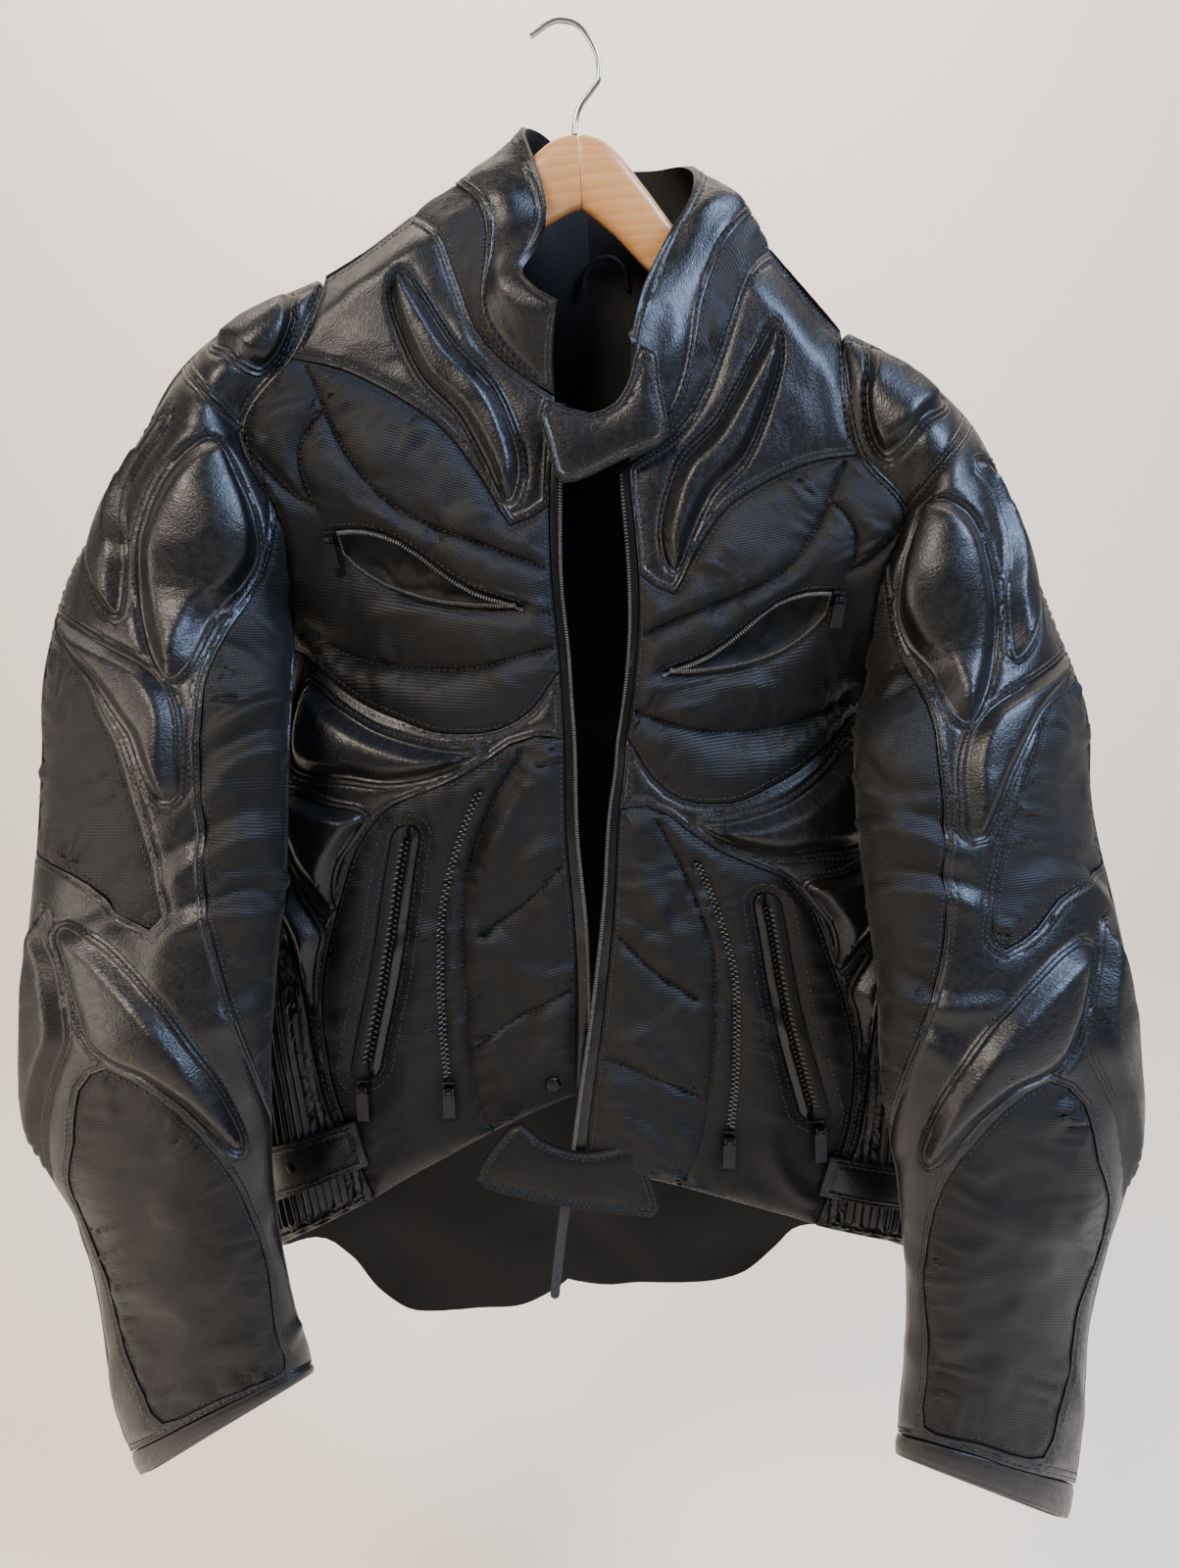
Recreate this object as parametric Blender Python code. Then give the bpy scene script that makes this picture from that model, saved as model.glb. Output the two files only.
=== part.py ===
"""A leather motorcycle jacket that hangs open on a wooden hanger, piece by piece as it is cut and sewn.

Lengths are in millimetres until each mesh is made. +X is the viewer's right, +Y goes from the viewer
through the jacket to its back, and +Z is up. The origin is the top of the bend in the hanger's hook,
where a rail holds it. "left" and "right" are the viewer's.

Cloth is described on charts. A chart point is (s, a): s runs down the piece in millimetres, and a runs
across it. A chart's row table says where its two edges lie, as (u, v) on an upright drawing plane
through the hook, seen from EYE, and how far behind that plane they are. The two sides are cut from one
pattern: only their rows differ, because the jacket hangs a little askew.
"""

import math
from functools import partial

import bpy
import numpy as np
from mathutils import Matrix, Vector, kdtree
from mathutils.geometry import delaunay_2d_cdt

SIDES = ("left", "right")
OUTWARD = {"left": -1, "right": 1}
EYE = np.array((-8.5, -712.0, -315.0))
WALL = 2.0
SEAM = 0.17
SLIVER = 0.005
OUTER_REACH, INNER_REACH = 14.0, 26.0
STEEPEST = 0.8
PIT_REACH = 26.0
DIAGONAL = (0.37, 0.21, 1.0)


# Small tools for tables, curves and distances

def table(names, *rows):
    """A short table: each named column as an array."""
    return dict(zip(names.split(), np.array(rows, float).T))


def along(xs, ys, x):
    """The smooth curve through a column's rows, read at x, and straight on past its two ends."""
    x = np.asarray(x, float)
    slopes = np.gradient(ys, xs)
    i = np.clip(np.searchsorted(xs, x, "right") - 1, 0, len(xs) - 2)
    step = xs[i + 1] - xs[i]
    t = np.clip((x - xs[i]) / step, 0, 1)
    curve = (
        ys[i] * (1 + 2 * t) * (1 - t) ** 2
        + ys[i + 1] * (3 - 2 * t) * t**2
        + step * slopes[i] * t * (1 - t) ** 2
        - step * slopes[i + 1] * (1 - t) * t**2
    )
    past = slopes[0] * np.minimum(x - xs[0], 0) + slopes[-1] * np.maximum(x - xs[-1], 0)
    return curve + past


def row_at(rows, s):
    """Every column of a row table, read at s."""
    return {name: along(rows["s"], column, s) for name, column in rows.items()}


def ease(t):
    """0 to 1 with no corner at either end."""
    t = np.clip(t, 0, 1)
    return t * t * (3 - 2 * t)


def seen(u, v, y):
    """The point at depth y that is seen over (u, v) on the drawing plane."""
    u, v, y = np.broadcast_arrays(np.asarray(u, float), v, y)
    depth = (y - EYE[1]) / -EYE[1]
    return np.stack([EYE[0] + (u - EYE[0]) * depth, y, EYE[2] + (v - EYE[2]) * depth], -1)


def quarter_section(width, depth, power):
    """A rounded section from the flat middle to the side, by its length: across 0 to 1, depth 1 to 0."""
    angle = np.linspace(0, math.pi / 2, 200)
    across, front = np.sin(angle) ** (2 / power), np.cos(angle) ** (2 / power)
    steps = np.hypot(np.diff(across) * width, np.diff(front) * depth)
    length = np.concatenate([[0], np.cumsum(steps)])
    return length / length[-1], across, front


def smooth_line(points, step=11.0, closed=False):
    """A curve through a few points, with a new point about every step."""
    points = np.array(points, float)
    if closed:
        around = np.concatenate([points[-1:], points, points[:2]])
    else:
        around = np.concatenate([2 * points[:1] - points[1:2], points, 2 * points[-1:] - points[-2:-1]])
    line = []
    for before, start, end, after in zip(around, around[1:], around[2:], around[3:]):
        count = max(1, round(float(np.linalg.norm(end - start)) / step))
        for t in np.arange(count) / count:
            bend = (2 * before - 5 * start + 4 * end - after) * t**2
            twist = (3 * start - before - 3 * end + after) * t**3
            line.append(0.5 * (2 * start + (end - before) * t + bend + twist))
    if not closed:
        line.append(points[-1])
    return np.array(line)


def straight(start, end, step=16.0):
    """Evenly spaced points from start to end."""
    start, end = np.array(start, float), np.array(end, float)
    count = max(1, round(float(np.linalg.norm(end - start)) / step))
    return start + (end - start) * np.linspace(0, 1, count + 1)[:, None]


def joined(*lines):
    """One closed outline from lines that meet end to end."""
    points = []
    for line in lines:
        for point in line:
            if not points or np.linalg.norm(point - points[-1]) > 0.5:
                points.append(point)
    if np.linalg.norm(points[0] - points[-1]) < 0.5:
        points.pop()
    return np.array(points)


def distance(points, line, closed=False):
    """How far each point is from a line of points."""
    starts, ends = (line, np.roll(line, -1, 0)) if closed else (line[:-1], line[1:])
    run = ends - starts
    t = ((points[:, None] - starts) * run).sum(2) / np.maximum((run**2).sum(1), 1e-9)
    nearest = starts + run * np.clip(t, 0, 1)[..., None]
    return np.linalg.norm(points[:, None] - nearest, axis=2).min(1)


def inside(points, loop):
    """Whether each point is inside a closed outline."""
    x, y = points[:, 0][:, None], points[:, 1][:, None]
    (x0, y0), (x1, y1) = loop.T, np.roll(loop, -1, 0).T
    crosses = (y0 > y) != (y1 > y)
    with np.errstate(divide="ignore", invalid="ignore"):
        at = x0 + (y - y0) * (x1 - x0) / (y1 - y0)
    return (crosses & (x < at)).sum(1) % 2 == 1


def drawn_in(loop, by):
    """A closed outline moved inward by a small distance."""
    turn = np.cross(loop, np.roll(loop, -1, 0)).sum()
    edges = np.roll(loop, -1, 0) - loop
    edges /= np.linalg.norm(edges, axis=1)[:, None]
    inward = np.stack([-edges[:, 1], edges[:, 0]], 1) * np.sign(turn)
    before = np.roll(inward, 1, 0)
    miter = (before + inward) / np.maximum(1 + (before * inward).sum(1), 0.25)[:, None]
    return loop + miter * by


# Charts: front, sleeve, back and collar

FRONT_ROWS = {
    "left": table(
        "s cf_u cf_v cf_y side_u side_v side_y",
        (0, -9, -142, -28, -144, -127, -22),
        (55, -17, -196, -34, -166, -168, -27),
        (112, -24, -260, -39, -199, -208, -31),
        (168, -25, -308, -42, -181, -266, -28),
        (213, -23, -350, -44, -182, -316, -6),
        (226, -23, -360, -45, -183, -334, 5),
        (246, -23, -377, -45, -187, -364, 9),
        (272, -23, -399, -45, -197, -403, 10),
        (335, -25, -457, -45, -211, -472, 10),
        (403, -23, -520, -44, -221, -547, 10),
        (470, -24, -578, -42, -227, -625, 10),
        (540, -28, -627, -40, -226, -714, 10),
    ),
    "right": table(
        "s cf_u cf_v cf_y side_u side_v side_y",
        (0, 26, -180, -28, 149, -171, -22),
        (55, 24, -236, -34, 157, -238, -27),
        (112, 27, -302, -39, 184, -277, -31),
        (168, 24, -350, -42, 170, -318, -28),
        (213, 17, -392, -44, 162, -372, -6),
        (226, 15, -402, -45, 160, -388, 5),
        (246, 13, -420, -45, 163, -420, 9),
        (272, 9, -444, -46, 170, -468, 10),
        (335, 3, -503, -48, 180, -531, 10),
        (403, -6, -566, -51, 187, -602, 10),
        (470, -16, -624, -54, 193, -668, 10),
        (540, -25, -677, -56, 195, -742, 10),
    ),
}
FRONT_WIDTH = 200.0
PIT = 213.0
NECK = (-42.0, 128.0)
SHOULDER_DROP = 35.0
FRONT_SECTION = quarter_section(FRONT_WIDTH, 45, 3.2)
ARMHOLE_RATE = 1.16

# Above the armpit a sleeve row's inner edge is sewn to the front's row "seat". Below it, the inner edge
# is the fold that the sleeve shows beside the front. "fore" and "aft" are how far the tube rounds out.
SLEEVE_ROWS = {
    "left": table(
        "s out_u out_v out_y in_u in_v in_y seat fore aft",
        (0, -144, -127, 0, -182, -316, -6, 0, 4, 4),
        (40, -181, -142, 0, -182, -316, -6, 48, 20, 20),
        (92, -227, -171, -2, -182, -316, -6, 112, 30, 30),
        (138, -259, -212, -5, -182, -316, -6, 134, 38, 36),
        (192, -292, -263, -10, -182, -316, -6, 170, 46, 38),
        (234, -313, -296, -14, -182, -316, -6, 213, 50, 34),
        (246, -319, -310, -16, -182, -330, -24, 213, 50, 32),
        (278, -332, -345, -22, -185, -354, -44, 213, 50, 32),
        (330, -337, -392, -30, -190, -391, -60, 213, 48, 34),
        (388, -348, -452, -38, -199, -460, -70, 213, 46, 34),
        (452, -363, -517, -46, -211, -526, -78, 213, 46, 34),
        (520, -372, -588, -54, -220, -593, -82, 213, 46, 34),
        (582, -370, -651, -60, -227, -662, -82, 213, 42, 34),
        (632, -353, -700, -64, -228, -714, -80, 213, 38, 32),
        (680, -347, -751, -66, -223, -762, -76, 213, 35, 30),
        (745, -343, -833, -66, -215, -794, -70, 213, 32, 27),
        (790, -333, -881, -66, -213, -813, -68, 213, 30, 25),
    ),
    "right": table(
        "s out_u out_v out_y in_u in_v in_y seat fore aft",
        (0, 149, -171, 0, 162, -372, -6, 0, 4, 4),
        (40, 183, -190, 0, 162, -372, -6, 48, 20, 20),
        (92, 222, -225, -2, 162, -372, -6, 112, 30, 30),
        (138, 241, -259, -5, 162, -372, -6, 134, 38, 36),
        (192, 260, -312, -10, 162, -372, -6, 170, 46, 38),
        (234, 277, -352, -14, 162, -372, -6, 213, 50, 34),
        (246, 282, -364, -16, 159, -384, -24, 213, 50, 32),
        (278, 294, -395, -22, 155, -406, -44, 213, 50, 32),
        (330, 298, -444, -30, 155, -449, -60, 213, 48, 34),
        (388, 306, -494, -38, 160, -505, -70, 213, 46, 34),
        (452, 321, -564, -46, 167, -562, -78, 213, 46, 34),
        (520, 328, -636, -54, 170, -624, -82, 213, 46, 34),
        (582, 326, -703, -60, 178, -695, -82, 213, 42, 34),
        (632, 313, -751, -64, 183, -750, -80, 213, 38, 32),
        (680, 300, -806, -66, 184, -796, -76, 213, 35, 30),
        (745, 298, -881, -66, 178, -853, -70, 213, 32, 27),
        (790, 289, -951, -66, 175, -896, -68, 213, 30, 25),
    ),
}
SLEEVE_SPAN = 170.0
SLEEVE_PIT = 234.0
CUFF_TOP = 773.0
CUFF_END = 790.0

BACK_SPAN = 400.0
BACK_MIDDLE = 10.0
BACK_SWELL = 42.0
BACK_ARM_BOW = 14.0

COLLAR_ROWS = {
    "left": table(
        "s top_u top_v top_y swell",
        (0, -13, -146, -47, 2),
        (28, -28, -136, -45, 3),
        (50, -34, -126, -41, 4),
        (72, -24, -115, -32, 6),
        (95, -17, -101, -18, 8),
        (120, -18, -84, -16, 10),
        (145, -24, -67, -12, 12),
        (166, -28, -54, 0, 10),
        (190, -20, -56, 28, 6),
        (210, -8, -66, 42, 3),
        (230, 6, -77, 46, 0),
    ),
    "right": table(
        "s top_u top_v top_y swell",
        (0, 31, -171, -47, 2),
        (28, 30, -163, -45, 3),
        (50, 34, -149, -41, 4),
        (72, 40, -135, -32, 6),
        (95, 51, -116, -18, 8),
        (120, 65, -96, -8, 10),
        (145, 69, -82, 8, 12),
        (166, 63, -78, 26, 10),
        (190, 45, -80, 38, 6),
        (210, 24, -79, 44, 3),
        (230, 6, -77, 46, 0),
    ),
}
COLLAR_HEIGHT = 60.0
COLLAR_LENGTH = 230.0
COLLAR_AT_SHOULDER = 128.0
NECKLINE = smooth_line([(58, 0), (44, 34), (26, 58), (-4, 80), (-34, 104), NECK])


def across_by_armhole(a):
    """How far across the torso a lies at the height of the armholes, 0 to 1."""
    q = np.clip(a / FRONT_WIDTH, 0, 1)
    return q * (ARMHOLE_RATE - (ARMHOLE_RATE - 1) * q**3)


def shoulder_seam(a):
    """The row on which the shoulder seam lies."""
    return NECK[0] * (1 - across_by_armhole(a)) / (1 - across_by_armhole(NECK[1]))


def under_shoulder(s, a):
    """0 on the shoulder seam, 1 from SHOULDER_DROP below it: how far the cloth has fallen away from it."""
    return np.sin(math.pi / 2 * np.clip((s - shoulder_seam(a)) / SHOULDER_DROP, 0, 1))


def closing(s):
    """0 along the armhole, 1 down the side seam, where front and back are joined."""
    return ease((s - PIT) / 60)


def section(s, a):
    """The torso's section at a: how far across it is, 0 to 1, and how far forward, 1 to 0."""
    length, across, front = FRONT_SECTION
    q = np.clip(a / FRONT_WIDTH, 0, 1)
    shut = closing(s)
    t = np.interp(q, length, across) * shut + across_by_armhole(a) * (1 - shut)
    return t, np.interp(q, length, front) * shut + (1 - t * t) * (1 - shut)


def front_point(side, s, a):
    """The front: a is 0 at the centre front edge and FRONT_WIDTH at the armhole and side seam."""
    row = row_at(FRONT_ROWS[side], s)
    a = np.minimum(a, FRONT_WIDTH)
    t, depth = section(s, a)
    t = t + np.minimum(a, 0) / FRONT_WIDTH
    y = row["side_y"] + (row["cf_y"] - row["side_y"]) * depth
    u = row["cf_u"] + (row["side_u"] - row["cf_u"]) * t
    v = row["cf_v"] + (row["side_v"] - row["cf_v"]) * t
    return seen(u, v, y * under_shoulder(s, a))


def back_edge(side, s):
    """The back's armhole and side seam, as (u, v, y)."""
    row = row_at(FRONT_ROWS[side], s)
    tip = row_at(FRONT_ROWS[side], 0.0)
    pit = row_at(FRONT_ROWS[side], PIT)
    k = s / PIT
    bow = np.sin(math.pi * np.clip(k, 0, 1))
    u = tip["side_u"] + (pit["side_u"] - tip["side_u"]) * k - OUTWARD[side] * BACK_ARM_BOW * bow
    v = tip["side_v"] + (pit["side_v"] - tip["side_v"]) * k
    y = np.clip(k, 0, 1) * pit["side_y"] + 34 * bow
    shared = (s > PIT) | (s < 0)
    return (
        np.where(shared, row["side_u"], u),
        np.where(shared, row["side_v"], v),
        np.where(s > PIT, row["side_y"], y),
    )


def back_point(s, b):
    """The back, from the viewer's left side seam, b = 0, to the right one, b = BACK_SPAN.

    Its two shoulder seams lie on those of the fronts: there it is measured from the front's own edge,
    and lower down from the middle between the two fronts' edges.
    """
    sides = {side: back_edge(side, s) for side in SIDES}
    edges = {side: row_at(FRONT_ROWS[side], s) for side in SIDES}
    on_left = b < BACK_SPAN / 2
    from_side = np.minimum(b, BACK_SPAN - b)
    a = FRONT_WIDTH - from_side
    side_u, side_v, side_y = (np.where(on_left, sides["left"][i], sides["right"][i]) for i in range(3))
    own_u = np.where(on_left, edges["left"]["cf_u"], edges["right"]["cf_u"])
    own_v = np.where(on_left, edges["left"]["cf_v"], edges["right"]["cf_v"])
    middle_u = (edges["left"]["cf_u"] + edges["right"]["cf_u"]) / 2
    middle_v = (edges["left"]["cf_v"] + edges["right"]["cf_v"]) / 2
    low = ease((s - shoulder_seam(a)) / 100)
    pole_u, pole_v = own_u + (middle_u - own_u) * low, own_v + (middle_v - own_v) * low
    t, depth = section(s, a)
    y = BACK_MIDDLE + (side_y - BACK_MIDDLE) * t**2 + BACK_SWELL * depth * (0.85 + 0.15 * closing(s))
    u, v = pole_u + (side_u - pole_u) * t, pole_v + (side_v - pole_v) * t
    return seen(u, v, y * under_shoulder(s, a))


def sleeve_point(side, face, s, a):
    """A sleeve: face is "fore" or "aft", and a is 0 at the inner edge and SLEEVE_SPAN at the outer one."""
    row = row_at(SLEEVE_ROWS[side], s)
    a = np.clip(a, 0, SLEEVE_SPAN)
    seat = np.clip(row["seat"], 0, PIT)
    if face == "fore":
        edge = row_at(FRONT_ROWS[side], seat)
        edge_u, edge_v = edge["side_u"], edge["side_v"]
        edge_y = edge["side_y"] * under_shoulder(seat, np.full_like(seat, FRONT_WIDTH))
    else:
        edge_u, edge_v, edge_y = back_edge(side, seat)
        edge_y = edge_y * under_shoulder(seat, np.full_like(seat, FRONT_WIDTH))
    above = s <= SLEEVE_PIT
    in_u = np.where(above, edge_u, row["in_u"])
    in_v = np.where(above, edge_v, row["in_v"])
    in_y = np.where(above, edge_y, row["in_y"])
    q = a / SLEEVE_SPAN
    sewn = np.clip((SLEEVE_PIT - s) / 150, 0, 1)
    t = (1 - np.cos(math.pi * q)) / 2 * (1 - sewn) + np.sin(math.pi / 2 * q) * sewn
    swell = np.sin(math.pi * q)
    swell = swell * (1 - sewn) + np.where(q < 0.5, swell**1.5, swell) * sewn
    out = row["fore"] if face == "fore" else -row["aft"]
    y = in_y + (row["out_y"] - in_y) * t - out * swell
    return seen(in_u + (row["out_u"] - in_u) * t, in_v + (row["out_v"] - in_v) * t, y)


def sleeve_width(side, face):
    """How wide the sleeve's cloth really is at each row, as a function of s, for one unit of a."""
    rows = np.linspace(0, CUFF_END, 80)
    across = np.linspace(0, SLEEVE_SPAN, 60)
    grid = sleeve_point(side, face, *np.meshgrid(rows, across, indexing="ij"))
    widths = np.linalg.norm(np.diff(grid, axis=1), axis=2).sum(1)
    return partial(np.interp, xp=rows, fp=widths / SLEEVE_SPAN)


def neck_seam(side, s):
    """Where the collar is sewn on, as a point, from the front end round to the centre back."""
    steps = np.concatenate([[0], np.cumsum(np.linalg.norm(np.diff(NECKLINE, axis=0), axis=1))])
    k = np.clip(s / COLLAR_AT_SHOULDER, 0, 1) * steps[-1]
    front = front_point(side, np.interp(k, steps, NECKLINE[:, 0]), np.interp(k, steps, NECKLINE[:, 1]))
    back = back_neck(side, np.clip((s - COLLAR_AT_SHOULDER) / (COLLAR_LENGTH - COLLAR_AT_SHOULDER), 0, 1))
    return np.where((s <= COLLAR_AT_SHOULDER)[..., None], front, back_point(back[..., 0], back[..., 1]))


def back_neck(side, k):
    """The back's neckline on its chart, from the shoulder seam, k = 0, to the centre back."""
    from_side = FRONT_WIDTH - NECK[1] + (BACK_SPAN / 2 - FRONT_WIDTH + NECK[1]) * k
    b = from_side if side == "left" else BACK_SPAN - from_side
    return np.stack([NECK[0] + (12 - NECK[0]) * np.sin(math.pi / 2 * k) ** 1.5, b], -1)


def collar_point(side, s, a):
    """Half the collar: s runs from its front end to the centre back, and a from its seam to its top."""
    row = row_at(COLLAR_ROWS[side], s)
    seam = neck_seam(side, s)
    top = seen(row["top_u"], row["top_v"], row["top_y"])
    f = (a / COLLAR_HEIGHT)[..., None]
    rise = top - seam
    out = np.stack([OUTWARD[side] * abs(rise[..., 2]), 0 * rise[..., 0], abs(rise[..., 0])], -1)
    out /= np.maximum(np.linalg.norm(out, axis=-1), 1)[..., None]
    return seam + rise * f + out * row["swell"][..., None] * np.sin(math.pi * np.clip(f, 0, 1))


def plane_point(depth, lean, u, v):
    """A flat surface charted by the drawing plane: depth is its y at u = 0, and lean how y grows with u."""
    return seen(u, v, depth + lean * u)


# Finishes: colour, roughness and metallic

FINISHES = {
    "leather": ((0.012, 0.012, 0.014), 0.38, 0.0),
    "textile": ((0.022, 0.021, 0.020), 0.85, 0.0),
    "tape": ((0.030, 0.030, 0.031), 0.75, 0.0),
    "lining": ((0.010, 0.010, 0.011), 0.9, 0.0),
    "maple": ((0.62, 0.38, 0.17), 0.45, 0.0),
    "steel": ((0.60, 0.60, 0.58), 0.25, 1.0),
    "dark_metal": ((0.08, 0.08, 0.085), 0.35, 1.0),
}


def finish(name, kind):
    """A new material for one piece."""
    material = bpy.data.materials.new(name + "_" + kind)
    material.use_nodes = True
    shader = material.node_tree.nodes["Principled BSDF"]
    colour, roughness, metallic = FINISHES[kind]
    shader.inputs["Base Color"].default_value = (*colour, 1)
    shader.inputs["Roughness"].default_value = roughness
    shader.inputs["Metallic"].default_value = metallic
    material.diffuse_color = (*colour, 1)
    return material


def make_object(name, points, faces, kind):
    """A mesh object from points in millimetres, its faces turned outward as a whole."""
    points = np.asarray(points, float)
    corners = [(face[0], face[i], face[i + 1]) for face in faces for i in range(1, len(face) - 1)]
    if np.linalg.det(points[np.array(corners)]).sum() < 0:
        faces = [tuple(face)[::-1] for face in faces]
    mesh = bpy.data.meshes.new(name)
    mesh.from_pydata((points / 1000).tolist(), [], faces)
    mesh.shade_smooth()
    mesh.set_sharp_from_angle(angle=math.radians(40))
    mesh.materials.append(finish(name, kind))
    piece = bpy.data.objects.new(name, mesh)
    bpy.context.scene.collection.objects.link(piece)
    return piece


# Cloth pieces: an outer layer with its relief, a plain inner layer, and rims that join them

CLOTH = []


def cloth(name, surface, outline, kind, facing, **more):
    """Cut one piece: its outline on the chart, holes, relief, and how finely its two layers are made."""
    piece = {
        "name": name, "surface": surface, "kind": kind, "facing": facing, "width": np.ones_like,
        "holes": (), "pods": (), "quilts": (), "ribs": None, "gap": 18.5, "inner_gap": 34.0,
        "wall": WALL, "lift": 0.0, "sewn": True, "roll": 0.0, "extra": (), "seam": SEAM,
    }
    piece.update(more)
    flat = partial(to_flat, piece)
    loops = [flat(np.asarray(loop)) for loop in (outline, *piece["holes"])]
    loops = [loop if np.cross(loop, np.roll(loop, -1, 0)).sum() > 0 else loop[::-1] for loop in loops]
    piece["seams"] = loops
    holes = [drawn_in(loop, -piece["seam"]) for loop in loops[1:]]
    piece["rims"] = [drawn_in(loops[0], piece["seam"]), *holes]
    piece["pods"] = [
        (flat(smooth_line(loop, 12.0, True)), height, run) for loop, height, run in piece["pods"]
    ]
    piece["quilts"] = [flat(smooth_line(line, 13.0)) for line in piece["quilts"]]
    piece["extra"] = flat(np.array(piece["extra"], float).reshape(-1, 2))
    CLOTH.append(piece)
    return piece


def to_flat(piece, line):
    """Chart points as points of the flat pattern, whose second number is in real millimetres."""
    return np.stack([line[:, 0], line[:, 1] * piece["width"](line[:, 0])], 1)


def on_surface(piece, flat):
    """Points on a piece's chart as points in space."""
    return piece["surface"](flat[:, 0], flat[:, 1] / piece["width"](flat[:, 0]))


def normals(piece, flat):
    """The outward direction at each point of a piece."""
    step = 0.5
    down = on_surface(piece, flat + (step, 0)) - on_surface(piece, flat - (step, 0))
    across = on_surface(piece, flat + (0, step)) - on_surface(piece, flat - (0, step))
    normal = np.cross(down, across)
    normal /= np.maximum(np.linalg.norm(normal, axis=1), 1e-9)[:, None]
    if "turn" not in piece:
        piece["turn"] = np.sign((normal @ np.array(piece["facing"], float)).mean())
    return normal * piece["turn"]


def seam_directions():
    """Every seam point and its direction, so that pieces which meet share one direction there."""
    spots, aims = [], []
    for piece in CLOTH:
        if piece["sewn"]:
            for loop in piece["seams"]:
                spots.extend(on_surface(piece, loop))
                aims.extend(normals(piece, loop))
    tree = kdtree.KDTree(len(spots))
    for index, spot in enumerate(spots):
        tree.insert(spot, index)
    tree.balance()
    return tree, np.array(aims)


def shared_direction(spot, tree, aims):
    """The mean direction of the pieces that meet at a seam point, turned down round the armpit."""
    near = [aims[index] for _, index, _ in tree.find_range(spot, 1.5)]
    mean = np.sum(near, axis=0)
    mean /= np.linalg.norm(mean)
    away = min(np.linalg.norm(spot - front_point(side, PIT, FRONT_WIDTH)) for side in SIDES)
    low = ease(1 - away / PIT_REACH)
    aim = mean * (1 - low) + np.array((0, 0, -1)) * low
    return aim / np.linalg.norm(aim)


def wall_directions(piece, flat, tree, aims, reach):
    """The outward directions of a piece, turned within reach of its seams to those its neighbours share."""
    own = normals(piece, flat)
    if not piece["sewn"]:
        return own
    rim = np.concatenate(piece["seams"])
    shared = np.array([shared_direction(spot, tree, aims) for spot in on_surface(piece, rim)])
    gaps = np.linalg.norm(flat[:, None] - rim, axis=2)
    nearest = gaps.argmin(1)
    weight = (np.clip(1 - (gaps.min(1) - 0.5) / reach, 0, 1) ** 1.5)[:, None]
    mixed = own * (1 - weight) + shared[nearest] * weight
    return mixed / np.linalg.norm(mixed, axis=1)[:, None]


def relief(piece, flat):
    """How far the outer layer stands out at each point: pods, quilted rolls and ribs."""
    height = np.zeros(len(flat))
    edge = np.min([distance(flat, loop, True) for loop in piece["seams"]], axis=0)
    if piece["roll"]:
        lines = [distance(flat, line) for line in piece["quilts"]]
        reach = np.min([edge, *lines], axis=0)
        height += piece["roll"] * np.sin(math.pi / 2 * np.clip(reach / 16, 0, 1))
    for loop, rise, run in piece["pods"]:
        depth = np.where(inside(flat, loop), distance(flat, loop, True), 0)
        height += rise * np.sin(math.pi / 2 * np.clip(depth / run, 0, 1))
    if piece["ribs"]:
        height += piece["ribs"](flat)
    return np.minimum(height, edge * STEEPEST)


def within(piece, points, margin):
    """The points that lie on a piece, at least margin from its edges."""
    if not len(points):
        return np.zeros(0, bool)
    keep = inside(points, piece["rims"][0])
    for hole in piece["rims"][1:]:
        keep &= ~inside(points, hole)
    return keep & (np.min([distance(points, rim, True) for rim in piece["rims"]], axis=0) > margin)


def triangles(piece, lines, dots):
    """A flat triangle mesh over the piece: its points, its faces and the places of its rim points."""
    points, edges = [], []
    for rim in piece["rims"]:
        first = len(points)
        points.extend(rim)
        edges += [(first + i, first + (i + 1) % len(rim)) for i in range(len(rim))]
    rim_count = len(points)
    for line, closed in lines:
        keep = within(piece, line, 2.0)
        places = {}
        for i in np.flatnonzero(keep):
            places[i] = len(points)
            points.append(line[i])
        pairs = [(i, (i + 1) % len(line)) for i in range(len(line) - (not closed))]
        edges += [(places[i], places[j]) for i, j in pairs if i in places and j in places]
    points.extend(dots)
    found = delaunay_2d_cdt([Vector(point) for point in points], edges, [], 0, 1e-4)
    flat = np.array([tuple(point) for point in found[0]])
    places = {start: index for index, starts in enumerate(found[3]) for start in starts}
    faces = np.array(found[2])
    corners = flat[faces]
    middle = corners.mean(1)
    area = np.cross(corners[:, 1] - corners[:, 0], corners[:, 2] - corners[:, 0]) / 2
    keep = inside(middle, piece["rims"][0]) & (area > SLIVER)
    for hole in piece["rims"][1:]:
        keep &= ~inside(middle, hole)
    return flat, faces[keep], [places[i] for i in range(rim_count)]


def grid_dots(piece, gap, taken):
    """Dots in a honeycomb over the piece, clear of its edges and of the points already taken."""
    low, high = piece["rims"][0].min(0), piece["rims"][0].max(0)
    rows = np.arange(low[0] + gap / 2, high[0], gap * 0.87)
    dots = [(s, a + gap / 2 * (i % 2)) for i, s in enumerate(rows) for a in np.arange(low[1], high[1], gap)]
    dots = np.array(dots).reshape(-1, 2)
    dots = dots[within(piece, dots, gap * 0.45)]
    if len(piece["extra"]):
        far = np.linalg.norm(dots[:, None] - piece["extra"], axis=2).min(1, initial=gap) > gap * 0.4
        dots = np.concatenate([dots[far], piece["extra"]])
    if len(taken) and len(dots):
        dots = dots[np.linalg.norm(dots[:, None] - taken, axis=2).min(1) > gap * 0.5]
    return dots


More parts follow.
